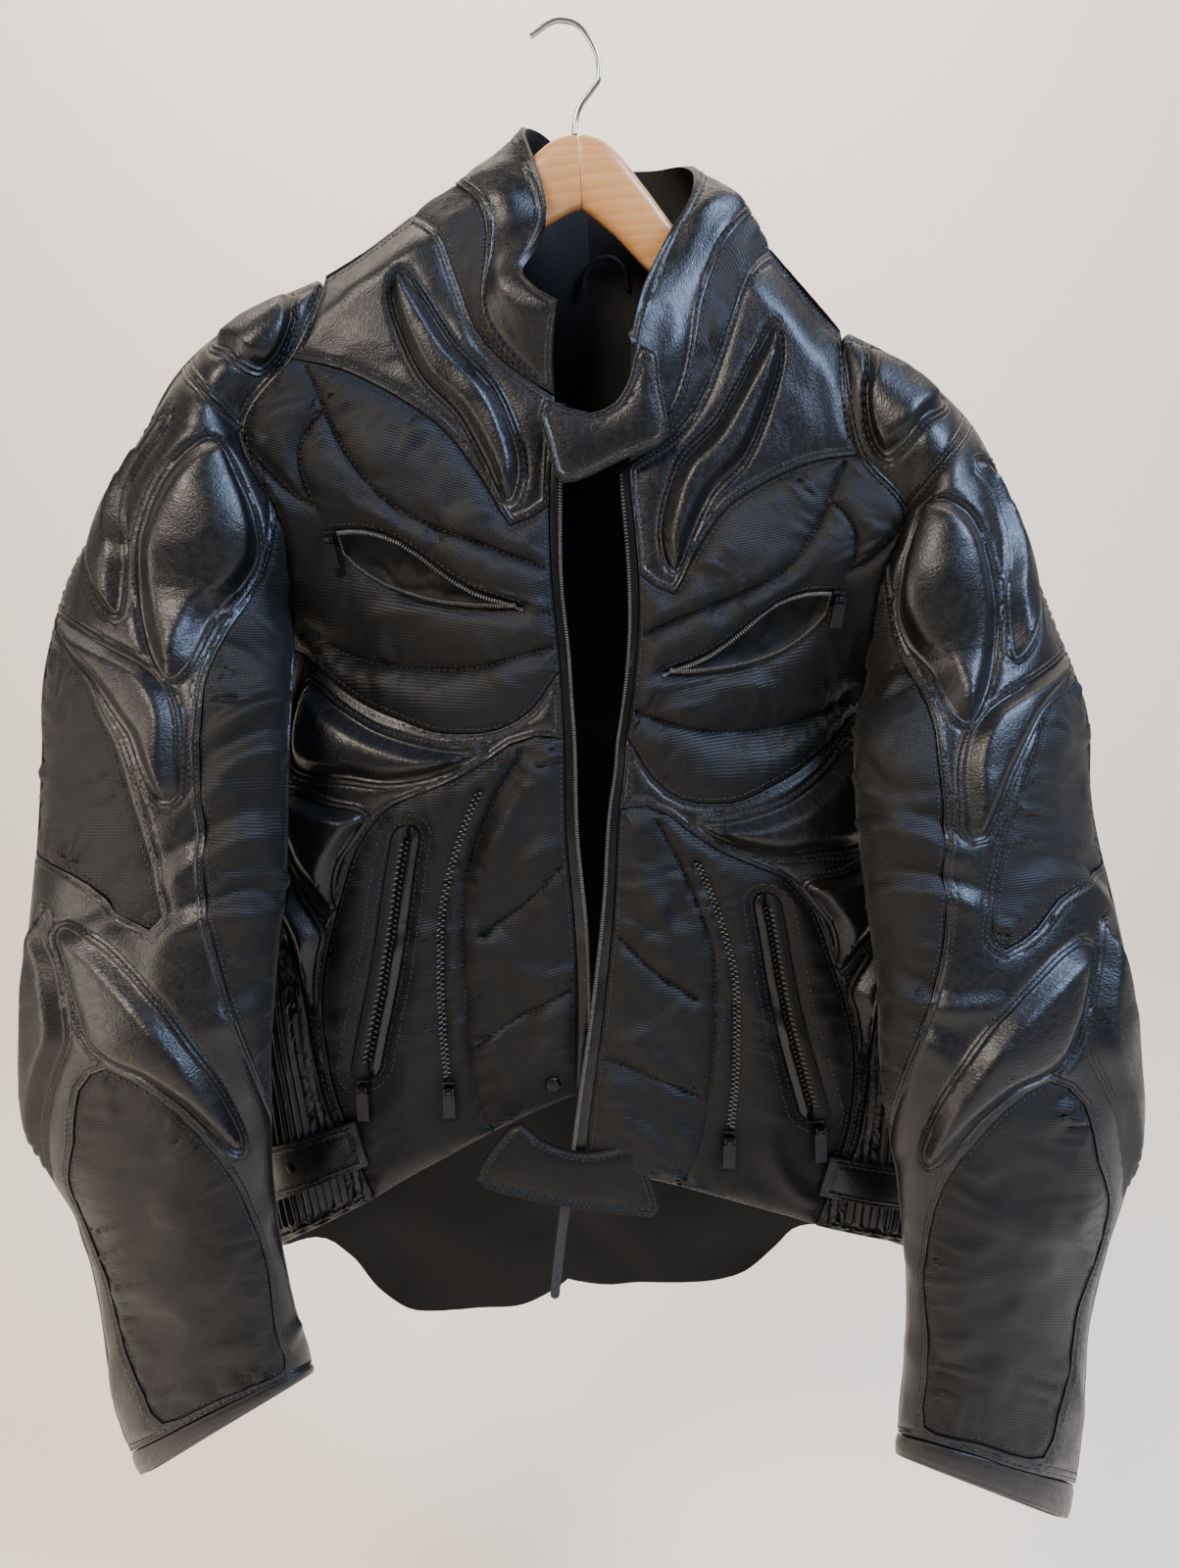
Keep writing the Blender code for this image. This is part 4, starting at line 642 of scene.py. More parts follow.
# %% Plain finishes: moulded nylon teeth, spun thread, plated steel wire and gunmetal castings
def plain(name, dark, light, roughness, metallic=0.0, size=0.004, **sockets):
    """One colour with faint clouds and marks, size metres across."""
    material, tree, shader = start(name, roughness, metallic, **sockets)
    place = add(tree, "ShaderNodeTexCoord").outputs["Object"]
    clouds = add(tree, "ShaderNodeTexNoise", {"Vector": place, "Scale": 1 / size, "Detail": 4.0})
    shades(tree, shader, clouds.outputs["Fac"], dark, light)
    bumps(tree, shader, clouds.outputs["Fac"], 0.08, 0.0003)
    return material


FINISHES = {
    "leather": leather("drum-dyed cowhide, satin coat", "#060607", "#0e0e0f", 0.38),
    "textile": textile("ribbed nylon", "#020202", "#0c0b0b", gloss=0.26, roughness=0.48),
    "facing": leather("zip facing, glazed leather", "#070708", "#0f0f10", 0.27, strength=0.08),
    "grey_leather": leather("grey dyed leather", "#12151a", "#20242b", 0.5),
    "patch": leather("patch leather, matt", "#060606", "#0c0c0c", 0.48, gloss=0.2),
    "tape": textile("woven zip tape", "#151516", "#2c2c2d", rib=0.0012),
    # The lining is black nylon, set still darker than the jacket's cloth as painted shade, so the pocket and
    # the inside stay dark under the lamps.
    "lining": textile("nylon taffeta lining", "#010101", "#040404", rib=0.0009, strength=0.25),
    "thread": plain("spun polyester thread", "#16161a", "#2b2b30", 0.5, size=0.001),
    # The coil is black nylon: its grey, lighter than the thread, is a painted highlight for the glints the
    # teeth catch.
    "teeth": plain("moulded nylon coil", "#33322f", "#54514c", 0.3),
    "steel": plain("nickel-plated steel wire", "#b3b1ab", "#cfccc6", 0.2, 1.0, size=0.02),
    "dark_metal": plain("gunmetal zinc casting", "#232326", "#38383b", 0.32, 1.0),
}
print("finishes:", ", ".join(FINISHES))

# %% [markdown]
# ## From pattern to cloth
#
# Each piece is a flat outline on a chart. Its outer layer is a fine net of triangles whose points are lifted
# by a height: turned edges, stitch grooves, pods, quilting, gathers and folds. A plain inner layer lies a
# wall's thickness behind it, and follows only the folds and the hollows. Rims close the two. Draping the cut
# pieces by simulation would let them drift from the solid, so the folds are listed one by one, in tables.

# %% Where the cloth lies, and how it folds
FOLDS = {}
CALM_REACH = 23.0
HARDWARE = [1000 * (np.array(low) + high) / 2 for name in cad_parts
            if name.endswith(METAL) for low, high in [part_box(name)]]


def to_flat(piece, line):
    """Chart points as points of the flat pattern, in real millimetres."""
    return np.stack([line[:, 0], line[:, 1] * piece["width"](line[:, 0])], 1)


def on_surface(piece, flat):
    """Points of the flat pattern as points in space, before any height."""
    return piece["surface"](flat[:, 0], flat[:, 1] / piece["width"](flat[:, 0]))


def normals(piece, flat):
    """The outward direction at each point of a piece."""
    step = 0.5
    down = on_surface(piece, flat + (step, 0)) - on_surface(piece, flat - (step, 0))
    across = on_surface(piece, flat + (0, step)) - on_surface(piece, flat - (0, step))
    normal = unit(np.cross(down, across))
    if "turn" not in piece:
        piece["turn"] = np.sign((normal @ np.array(piece["facing"], float)).mean())
    return normal * piece["turn"]


def calm(points):
    """0 beside a zip slider or a snap, 1 away from them: the cloth lies flat under them."""
    gap = np.min([np.linalg.norm(points - spot, axis=1) for spot in HARDWARE], axis=0)
    return 1 - bump(gap, 0, CALM_REACH)


def folds(piece, flat):
    """The listed folds of a piece's chart, and a slow sway that all pieces share.

    A fold is a round ridge along a bowed line, with a shallow valley on each side, and fades at both ends.
    """
    spots = on_surface(piece, flat)
    still = calm(spots)
    height = piece["sway"] * ripple(spots, 120, 3) * still
    for s0, a0, s1, a1, bow, rise, reach in FOLDS.get(piece["chart"], ()):
        start, end = to_flat(piece, np.array([(s0, a0), (s1, a1)], float))
        run = end - start
        t = np.linspace(0, 1, 12)[:, None]
        line = start + run * t + np.array((-run[1], run[0])) * bow * 4 * t * (1 - t)
        gap, at, side = near(flat, line)
        fade = np.sin(math.pi * np.clip(at / lengths(line)[-1], 0, 1)) ** 0.8
        x = side / reach
        ridge = bump(x, 0, 1) - 0.6 * bump(x, 1.7, 0.9)
        height += rise * piece["fold"] * fade * still * np.where(gap < 4 * reach, ridge, 0)
    return height


def along_only(at):
    """Points for a ripple that changes along a seam and not across it."""
    return np.stack([at, 0 * at], 1)


def creased(at, gap, size, seed):
    """Puckers that run away from a seam: round ridges between narrow valleys, some strong, some faint."""
    wave = ripple(np.stack([at, 0.12 * gap], 1), size, seed)
    faint = np.clip(0.6 + 0.9 * ripple(along_only(at), 75, seed + 2), 0.1, 1.4)
    return faint * (0.8 * wave + 0.5 - 1.1 * bump(wave, 0, 0.25))


def ruled(piece, flat):
    """Distances from the piece's edge and from each pod, and the share that each has in a point."""
    gap = np.min([near(flat, loop, True)[0] for loop in piece["seams"]], axis=0)
    offs = [near(flat, loop, True)[0] for loop, _, _ in piece["pods"]]
    held = [inside(flat, loop) for loop, _, _ in piece["pods"]]
    reach = [gap, *[np.where(inner, 0, off) for off, inner in zip(offs, held)]]
    shares = []
    for i, own in enumerate(reach):
        others = [other for j, other in enumerate(reach) if j != i]
        shares.append(ease((np.min(others, axis=0) - own) / 3 + 0.5) if others else np.ones(len(flat)))
    return gap, offs, held, shares


# %% What stands out of the cloth
# How far the rows of stitches lie from an edge, how wide padding rounds, and the deepest hollow, which
# stays well inside the wall.
LEATHER_ROWS = (2.2, 5.0)
TEXTILE_ROW = 2.4
POD_ROWS = (2.8, 5.6)
QUILT_REACH = 15.0
DEEPEST = -0.7


def ridges(gap, *rows):
    """Low ridges and grooves beside a line: the place of each, its half width and its height."""
    return sum(height * bump(gap, place, width) for place, width, height in rows)


def leather_body(flat, gap, share, rest, seed):
    """A turned edge, two valleys where it is sewn, and a body that stands a little proud of them."""
    first, second = LEATHER_ROWS
    sewn = ridges(gap, (3.6, 0.8, 0.3), (first, 0.75, -0.65), (second, 0.85, -0.55))
    body = 1.2 + 0.6 * rest * ripple(flat, 46, seed)
    return 0.7 * grown(gap, 0.6) + share * sewn + grown(np.maximum(gap - 6, 0), 6) * body


def textile_body(piece, flat, gap, rest, seed):
    """A soft edge, one valley where it is sewn, tucks that run in from the seam, and a slack body."""
    at = near(flat, piece["seams"][0], True)[1]
    tucks = creased(at, gap, 17, seed) * grown(gap, 4)
    reach = np.maximum(20 + 9 * ripple(along_only(at), 45, seed + 1), 6)
    height = 0.6 * grown(gap, 2) - 0.3 * bump(gap, TEXTILE_ROW, 0.8)
    height += piece["tuck"] * rest * bump(gap, 0, reach) * tucks
    return height + piece["soft"] * rest * grown(gap, 12) * (0.4 + ripple(flat, 52, seed))


def plain_body(piece, flat, gap, rest, seed):
    """A thin edge and a slack body, for lining and tape."""
    return 0.3 * grown(gap, 1.2) + piece["soft"] * rest * grown(gap, 6) * ripple(flat, 24, seed)


def quilting(piece, flat, gap, rest, seed):
    """Padding between the quilted lines: round and firm, and gathered where a line pulls it down."""
    height, reach = np.zeros(len(flat)), gap
    for number, line in enumerate(piece["quilts"]):
        off, at, _ = near(flat, line)
        reach = np.minimum(reach, off)
        gathers = creased(at, off, 13 + number, seed + number) * grown(off, 3)
        height += piece["gather"] * rest * bump(off, 0, QUILT_REACH) * gathers - 0.6 * bump(off, 0, 1.3)
    roll = piece["firm"] + (piece["roll"] - piece["firm"]) * rest
    return height + roll * np.sin(math.pi / 2 * np.clip(reach / QUILT_REACH, 0, 1)) ** 0.8


def pod_height(off, inner, share, rise, run):
    """A pod: a flat crown over a steep side, and two sewn valleys pulled in round its foot."""
    first, second = POD_ROWS
    foot = 0.9 * bump(off, 0, 0.9)
    crown = rise * ease(off / run) + 0.9 * grown(off, 25)
    sewn = ridges(off, (1.4, 0.8, 0.5), (first, 0.75, -0.7), (4.2, 0.7, 0.45), (second, 0.8, -0.6))
    return np.where(inner, crown - foot, (sewn - foot) * share)


def relief(piece, flat):
    """Everything that stands out of one piece: its body, quilting, pods and ribs.

    A sewn piece stays low beside its edge, so that it meets its neighbours at the seam.
    """
    seed = sum(map(ord, piece["name"])) % 17
    gap, offs, held, shares = ruled(piece, flat)
    rest = calm(on_surface(piece, flat))
    if piece["kind"] == "leather":
        height = leather_body(flat, gap, shares[0], rest, seed)
    else:
        body = textile_body if piece["kind"] == "textile" else plain_body
        height = body(piece, flat, gap, rest, seed)
    if piece["roll"]:
        height += quilting(piece, flat, gap, rest, seed)
    for (_, rise, run), off, inner, share in zip(piece["pods"], offs, held, shares[1:]):
        height += pod_height(off, inner, share, rise, run)
    for more in piece["more"]:
        height += more(piece, flat)
    if piece["ribs"]:
        height += piece["ribs"](flat)
    return np.clip(height, DEEPEST, 0.15 + gap * 1.4) if piece["sewn"] else height


def lifted(piece, flat, extra=0.0):
    """Points on the finished outer layer, and their outward directions."""
    aim = normals(piece, flat)
    out = piece["lift"] + piece["proud"] + relief(piece, flat) + folds(piece, flat) + extra
    return on_surface(piece, flat) + aim * out[:, None], aim


# %% The net of triangles
# A net needs rows of points where the height changes fast: at these offsets from an edge, from a pod's
# outline and from a quilted line. Ribs have a row of points every RIB_ROW. The back's two halves meet in a
# crease down to its first value, where no dot lies closer than its second, and slivers are left out.
EDGE_NET = (0.7, 2.2, 3.6, 5.0, 7.0)
POD_NET = (-6.6, -5.6, -4.2, -2.8, -1.4, -0.5, 0.5, 1.6, 3.0)
QUILT_NET = (0.01, -1.2, 1.2, -3, 3, -5.5, 5.5, -9, 9)
RIB_ROW = 5.0
BACK_CREASE = (120.0, 2.0)
SLIVER = 0.004


def on_piece(piece, points):
    """Whether flat points lie on a piece and outside its holes."""
    outline, *holes = piece["rims"]
    keep = inside(points, outline)
    for hole in holes:
        keep &= ~inside(points, hole)
    return keep


def within(piece, points, margin):
    """The points that lie on a piece, at least margin from its edges."""
    gap = np.min([near(points, rim, True)[0] for rim in piece["rims"]], axis=0)
    return on_piece(piece, points) & (gap > margin)


def honeycomb(piece, gap):
    """Dots over the piece's whole box, gap apart. On ribs they lie in rows that slant with them."""
    low, high = piece["rims"][0].min(0), piece["rims"][0].max(0)
    if piece["ribs"]:
        rows = np.arange(low[0], high[0], RIB_ROW)
        columns = np.arange(low[1] - 70, high[1] + 140, RIB_PITCH / 6)
        return np.array([(s, a + s * RIB_SLANT) for s in rows for a in columns])
    rows = np.arange(low[0] + gap / 2, high[0], gap * 0.87)
    columns = np.arange(low[1], high[1], gap)
    dots = np.array([(s, a + gap / 2 * (i % 2)) for i, s in enumerate(rows) for a in columns])
    if piece["chart"] == "back":
        crease_end, reach = BACK_CREASE
        dots = dots[(abs(dots[:, 1] - BACK_SPAN / 2) > reach) | (dots[:, 0] > crease_end)]
    return dots


def rows_beside(loop, offsets, closed):
    """Points along a line at each offset from it, where the offset line doesn't cross itself."""
    for offset in offsets:
        if closed:
            points = drawn_in(loop, offset)
        else:
            points = loop + left_of(unit(np.gradient(loop, axis=0))) * offset
        yield points, near(points, loop, closed)[0] > abs(offset) - 0.25


# %% The dots of a net
def detail_rows(piece):
    """Rows of points along edges, pods and quilting, the good ones of each, and whose rule they are under."""
    for number, loop in enumerate(piece["seams"]):
        sign = -1 if number else 1
        for points, good in rows_beside(spaced(loop, 3.0, True), sign * np.array(EDGE_NET), True):
            yield points, good, 0
    for number, (loop, _, run) in enumerate(piece["pods"]):
        rows = (*POD_NET, 0.6 * run, 0.8 * run, run, run + 3)
        for points, good in rows_beside(spaced(loop, 3.0, True), rows, True):
            yield points, good, number + 1
    for line in piece["quilts"]:
        for points, good in rows_beside(spaced(line, 2.4), QUILT_NET, False):
            yield points, good, -1


def detail_dots(piece):
    """The points that edges, pods and quilting need, and the lines between them that triangles keep."""
    rows = list(detail_rows(piece))
    if not rows:
        return np.zeros((0, 2)), []
    points = np.concatenate([points for points, _, _ in rows])
    row_of = np.concatenate([np.full(len(points), i) for i, (points, _, _) in enumerate(rows)])
    rule_of = np.array([rule for _, _, rule in rows])[row_of]
    share = np.array([*ruled(piece, points)[3], np.ones(len(points))])[rule_of, np.arange(len(points))]
    good = np.concatenate([good for _, good, _ in rows]) & (share > 0.4) & within(piece, points, 0.45)
    kept = np.flatnonzero(good)
    kept = kept[thinned(points[kept], 0.9)]
    place = {index: k for k, index in enumerate(kept.tolist())}
    lines = [(place[i], place[i + 1]) for i in place if i + 1 in place and row_of[i] == row_of[i + 1]]
    return points[kept], lines


def thinned(points, least):
    """The places of the points, without those that lie closer than the least gap to an earlier one."""
    cells, kept = {}, []
    for index, (x, y) in enumerate((points / least).tolist()):
        column, row = math.floor(x), math.floor(y)
        near_by = (cells.get((column + i, row + j), ()) for i in (-1, 0, 1) for j in (-1, 0, 1))
        if all((x - u) ** 2 + (y - v) ** 2 >= 1 for cell in near_by for u, v in cell):
            cells.setdefault((column, row), []).append((x, y))
            kept.append(index)
    return kept


def apart(points, others, reach):
    """Which points have none of the others within reach."""
    tree = tree_of(others)
    return np.array([(tree.find((x, y, 0))[2] or 1e9) > reach for x, y in points.tolist()], bool)


# %% Triangles between the dots
def net(piece, dots, lines=()):
    """A flat triangle net over the piece: its points, its faces and the places of its rim points."""
    points, edges = [], []
    for rim in piece["rims"]:
        first = len(points)
        points.extend(rim.tolist())
        edges += [(first + i, first + (i + 1) % len(rim)) for i in range(len(rim))]
    rim_count = len(points)
    points.extend(dots.tolist())
    edges += [(rim_count + i, rim_count + j) for i, j in lines]
    found = delaunay_2d_cdt([Vector(point) for point in points], edges, [], 0, 1e-4)
    flat = np.array([tuple(point) for point in found[0]])
    places = {start: index for index, starts in enumerate(found[3]) for start in starts}
    faces = np.array(found[2])
    corners = flat[faces]
    keep = on_piece(piece, corners.mean(1)) & (crossed(corners) / 2 > SLIVER)
    return flat, faces[keep], [places[i] for i in range(rim_count)]


# %% Meshes from points
def ride(piece, slot, body="jacket"):
    """Let a piece ride on its body. The slot argument is not used."""
    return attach(piece, body)


def new_mesh(name, points, faces, materials, indexes=None):
    """A mesh object from points in millimetres."""
    mesh = bpy.data.meshes.new(name)
    mesh.from_pydata((np.asarray(points) / 1000).tolist(), [], [tuple(face) for face in faces])
    for material in materials:
        mesh.materials.append(material)
    if indexes is not None:
        mesh.polygons.foreach_set("material_index", np.asarray(indexes, np.int32))
    mesh.shade_smooth()
    piece = bpy.data.objects.new(name, mesh)
    bpy.context.scene.collection.objects.link(piece)
    return piece


def surface_area(points, faces):
    """The area of a triangle mesh in square metres, from points in millimetres."""
    return np.linalg.norm(crossed(points[faces]), axis=1).sum() / 2e6


def set_pattern(piece, flat):
    """Write a flat pattern, in millimetres, as the UV map in metres."""
    uv = np.asarray(flat)[[loop.vertex_index for loop in piece.data.loops]] / 1000
    piece.data.uv_layers.new(name="pattern").data.foreach_set("uv", uv.astype(np.float32).ravel())


def turn_outward(piece):
    """Recalculate a closed mesh's normals so that they point out."""
    mesh = bmesh.new()
    mesh.from_mesh(piece.data)
    bmesh.ops.recalc_face_normals(mesh, faces=mesh.faces)
    if mesh.calc_volume(signed=True) < 0:
        bmesh.ops.reverse_faces(mesh, faces=mesh.faces)
    mesh.to_mesh(piece.data)
    mesh.free()


LEAST_FILL, LEAST_WIDTH = 0.32, 0.0105


def cut_size(flat, area):
    """The rectangle that a piece is cut from, along its own length: width and length in metres.

    A bent piece is nested with the next one on the hide, so it fills at least LEAST_FILL of its rectangle.
    """
    centred = flat - flat.mean(0)
    _, axes = np.linalg.eigh(centred.T @ centred)
    width, length = np.ptp(centred @ axes, axis=0) / 1000
    return max(min(width, area / (LEAST_FILL * length)), area / length, LEAST_WIDTH), length


# %% One finished piece of cloth
# What a piece is like unless its call says otherwise. "gap" is how fine its net is, "lift" how far it lies
# over its neighbours, and "sewn" whether its edge goes down into a seam. "roll" is how high its padding
# rises, "firm" the same beside a slider. "gather", "tuck", "soft", "sway" and "fold" scale its puckers, its
# edge's tucks, its slack, its slow waves and its folds. A pod has an outline, a height and the run over
# which it rises. "beyond" gives the part that passes a test a second finish, and "fullness" is how much
# more cloth was gathered into the piece.
PIECES = {}
PLAIN_PIECE = {
    "width": np.ones_like, "chart": "", "gap": 2.7, "wall": WALL, "lift": 0.0, "seam": SEAM, "sewn": True,
    "holes": (), "pods": (), "quilts": (), "ribs": None, "more": (), "beyond": None, "fullness": 1.0,
    "roll": 0.0, "firm": 0.0, "gather": 1.5, "tuck": 1.5, "soft": 1.5, "sway": 1.5, "fold": 1.0,
}


def lay_out(piece, outline):
    """Turn the chart's outline and lines into the flat pattern: seams, rims, pods and quilted lines."""
    flat_of = partial(to_flat, piece)
    loops = [spaced(flat_of(np.asarray(loop, float)), 3.4, True) for loop in (outline, *piece["holes"])]
    piece["seams"] = loops = [loop if turning(loop) > 0 else loop[::-1] for loop in loops]
    piece["rims"] = [drawn_in(loop, -piece["seam"] if number else piece["seam"])
                     for number, loop in enumerate(loops)]
    piece["pods"] = [(flat_of(smooth_line(loop, 3.2, True)), rise, run) for loop, rise, run in piece["pods"]]
    piece["quilts"] = [flat_of(smooth_line(line, 3.0)) for line in piece["quilts"]]


def outer_layer(piece):
    """The fine net, with a point on every detail, and its points lifted to the finished face."""
    detail, lines = detail_dots(piece)
    grid = honeycomb(piece, piece["gap"])
    grid = grid[within(piece, grid, 0.6)]
    grid = grid[apart(grid, detail, 0.5 if piece["ribs"] else 0.55 * piece["gap"])]
    flat, faces, rim = net(piece, np.concatenate([detail, grid]), lines)
    return flat, faces, rim, lifted(piece, flat)[0]


def inner_layer(piece):
    """A coarse net one wall behind, which follows the folds and the hollows but not the details."""
    gap = 3.0 if piece["more"] else max(9.0, 3 * piece["gap"])
    grid = honeycomb({**piece, "ribs": None}, gap)
    flat, faces, rim = net(piece, grid[within(piece, grid, 0.4 * gap)])
    depth = piece["lift"] - piece["wall"] + folds(piece, flat)
    depth += sum(np.minimum(more(piece, flat), 0) for more in piece["more"])
    return flat, faces, rim, on_surface(piece, flat) + normals(piece, flat) * depth[:, None]


def rim_faces(piece, rim, inner_rim):
    """The quads that close the two layers along every rim."""
    faces, first = [], 0
    for number, loop in enumerate(piece["rims"]):
        for i in range(len(loop)):
            here, there = first + i, first + (i + 1) % len(loop)
            if number:
                here, there = there, here
            faces.append([rim[there], rim[here], inner_rim[here], inner_rim[there]])
        first += len(loop)
    return faces


def cut_of(piece, flat, faces):
    """What the piece is cut from before it is gathered: width and length in metres, and its area."""
    area = surface_area(on_surface(piece, flat), faces)
    scale = math.sqrt(area / surface_area(np.pad(flat, ((0, 0), (0, 1))), faces))
    width, length = cut_size(flat * scale, area)
    return width * piece["fullness"], length, area * piece["fullness"]


def cloth(name, surface, outline, kind, facing, **more):
    """Cut, sew and finish one piece in place of the CAD node of the same name."""
    piece = {**PLAIN_PIECE, "name": name, "surface": surface, "kind": kind, "facing": facing, "finish": kind,
             "proud": 0.8 if kind == "leather" else 0.0, **more}
    lay_out(piece, outline)
    PIECES[name] = piece
    flat, faces, rim, outer = outer_layer(piece)
    inner_flat, inner_faces, inner_rim, inner = inner_layer(piece)

    shift = len(outer)
    sides = rim_faces(piece, rim, [place + shift for place in inner_rim])
    solid = faces.tolist() + (inner_faces[:, ::-1] + shift).tolist() + sides
    finishes = [0] * len(faces) + [1] * len(inner_faces) + [0] * len(sides)
    # Inner faces take the lining, whose near-black is partly painted shade.
    names = [piece["finish"], "lining"]
    if piece["beyond"]:
        second, test = piece["beyond"]
        names.append(second)
        finishes[:len(faces)] = (2 * (test(piece, flat[faces].mean(1)) > 0)).tolist()
    if (crossed(outer[faces]) @ np.array(facing, float)).sum() < 0:
        solid = [face[::-1] for face in solid]
    points = np.concatenate([outer, inner])
    made = new_mesh(name + "_cloth", points, solid, [FINISHES[key] for key in names], finishes)
    made.data.set_sharp_from_angle(angle=math.radians(50))
    set_pattern(made, np.concatenate([flat, inner_flat]))
    ride(made, kind)
    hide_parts(name)
    width, length, cut = cut_of(piece, flat, faces)
    piece["cut"] = (width, length)


# %% [markdown]
# ## The front of the jacket
#
# Each front is a leather yoke, a quilted textile chest with a slanted pocket, a curved leather band with
# three fin-shaped pods, a ribbed stretch panel at the side and a textile skirt with the hand pocket. All of
# them are cut on one chart, so neighbours share their seam lines. Cutting separate pieces, rather than
# painting seams on one sheet, gives real edges that catch the light.

# %% Where folds lie: start and end on the chart, bow as a share of the length, height and half width
FOLDS.update({
    "left_front": (
        (296, 12, 350, 46, 0.12, 1.4, 7), (340, 6, 366, 34, 0.1, 1.2, 6), (404, 44, 436, 8, 0.12, 1.3, 7),
        (478, 46, 528, 12, 0.1, 1.3, 7), (322, 128, 380, 138, 0.08, 1.0, 7),
        (478, 92, 528, 128, 0.15, 1.4, 7), (120, 30, 182, 60, 0.16, 1.6, 7),
        (128, 118, 152, 70, -0.12, 1.4, 6), (86, 150, 120, 184, 0.1, 1.5, 7),
        (196, 60, 214, 132, 0.08, 1.3, 5), (318, 28, 372, 52, 0.1, 1.6, 7),
        (430, 14, 506, 40, -0.08, 1.7, 8), (384, 70, 412, 132, 0.06, 1.1, 6),
        (450, 30, 486, 66, 0.05, 1.2, 6), (20, 70, 64, 44, 0.1, 0.8, 7),
    ),
    "right_front": (
        (300, 44, 346, 10, 0.14, 1.4, 7), (352, 6, 372, 40, 0.1, 1.2, 6), (410, 48, 440, 10, -0.12, 1.3, 7),
        (484, 8, 526, 44, 0.1, 1.3, 7), (330, 130, 386, 140, 0.08, 1.0, 7),
        (484, 94, 530, 124, -0.15, 1.4, 7), (124, 36, 176, 66, -0.14, 1.6, 7),
        (132, 124, 158, 72, 0.12, 1.4, 6), (92, 140, 126, 180, -0.1, 1.4, 7),
        (200, 56, 218, 120, 0.08, 1.2, 5), (306, 20, 366, 48, -0.1, 1.6, 7),
        (420, 10, 500, 46, 0.1, 1.6, 8), (378, 72, 420, 128, -0.06, 1.2, 6),
        (470, 24, 520, 60, 0.05, 1.2, 6), (24, 76, 60, 40, -0.1, 0.8, 7),
    ),
    "left_sleeve": (
        (300, 16, 330, 62, 0.2, 2.6, 7), (338, 12, 372, 74, 0.2, 3.0, 8), (384, 10, 414, 84, 0.18, 3.0, 8),
        (430, 8, 452, 90, 0.15, 2.6, 8), (404, 88, 440, 158, -0.2, 2.2, 8),
        (470, 10, 500, 70, -0.1, 1.8, 9), (600, 6, 640, 34, 0.1, 1.6, 8), (700, 4, 742, 38, 0.1, 1.8, 8),
        (706, 136, 752, 166, 0.1, 1.6, 7), (104, 10, 130, 52, 0.1, 1.2, 7),
    ),
    "right_sleeve": (
        (296, 14, 336, 66, -0.2, 2.4, 7), (350, 10, 380, 76, 0.2, 3.0, 8), (396, 8, 420, 86, 0.18, 2.8, 8),
        (444, 10, 470, 92, -0.15, 2.4, 8), (396, 96, 436, 160, 0.2, 2.2, 8), (484, 8, 520, 66, 0.1, 1.8, 9),
        (610, 8, 652, 32, -0.1, 1.6, 8), (690, 6, 736, 36, 0.12, 1.8, 8),
        (700, 138, 748, 166, -0.1, 1.6, 7), (108, 12, 134, 56, 0.1, 1.2, 7),
    ),
    "left_sleeve_back": (
        (250, 20, 300, 120, 0.15, 3.0, 10), (330, 30, 360, 150, -0.1, 3.5, 11),
        (380, 16, 410, 140, 0.12, 3.5, 10), (440, 30, 470, 150, 0.1, 3.0, 11),
        (690, 20, 730, 140, 0.1, 2.4, 11),
    ),
    "right_sleeve_back": (
        (240, 24, 296, 130, -0.15, 3.0, 10), (326, 20, 366, 140, 0.1, 3.5, 11),
        (390, 22, 414, 150, -0.12, 3.5, 10), (452, 24, 474, 146, 0.1, 3.0, 11),
        (680, 30, 722, 150, -0.1, 2.4, 11),
    ),
    "back": (
        (560, 60, 640, 130, 0.1, 2.6, 12), (560, 330, 640, 260, -0.12, 2.6, 12),
        (600, 150, 660, 230, 0.15, 2.2, 11), (40, 150, 110, 190, 0.1, 2.4, 12),
        (50, 250, 120, 215, 0.1, 2.4, 12), (60, 90, 190, 60, 0.1, 3.0, 15),
        (70, 300, 200, 340, -0.1, 3.0, 15), (190, 120, 330, 160, 0.06, 3.0, 18),
        (210, 290, 340, 240, -0.06, 3.0, 18), (380, 60, 470, 150, 0.1, 2.4, 16),
        (400, 340, 480, 250, -0.1, 2.4, 16), (520, 150, 620, 180, 0.1, 2.2, 16),
        (500, 250, 590, 230, 0.1, 2.2, 16),
    ),
    "left_collar": (
        (20, 40, 70, 34, 0.1, 1.5, 8), (90, 46, 130, 40, -0.1, 1.5, 8),
    ),
    "right_collar": (
        (24, 42, 66, 32, -0.1, 1.5, 8), (86, 44, 134, 42, 0.1, 1.5, 8),
    ),
})
print("hand-placed folds:", sum(map(len, FOLDS.values())))

# %% The pattern's lines, drawn once for both sides
# Each point is (s, a) on the chart. Pods, holes and inserts are closed lines, and the others are seams or
# lines of stitching. The two seams that end at the armhole get a station there of their own.
YOKE_SEAT, STRIP_SEAT = 58.0, 152.0
ARMHOLE_S = np.unique(np.concatenate([np.linspace(6, PIT, 50), [YOKE_SEAT, STRIP_SEAT]]))
CORNER_CUT = 0.8
SIDE_S = np.array((213, 220, 228, 250, 272, 300, 335, 370, 400, 435, 470, 505, 545), float)
RIB_PITCH = 4.2
RIB_HEIGHT = 2.2
RIB_SLANT = -0.12

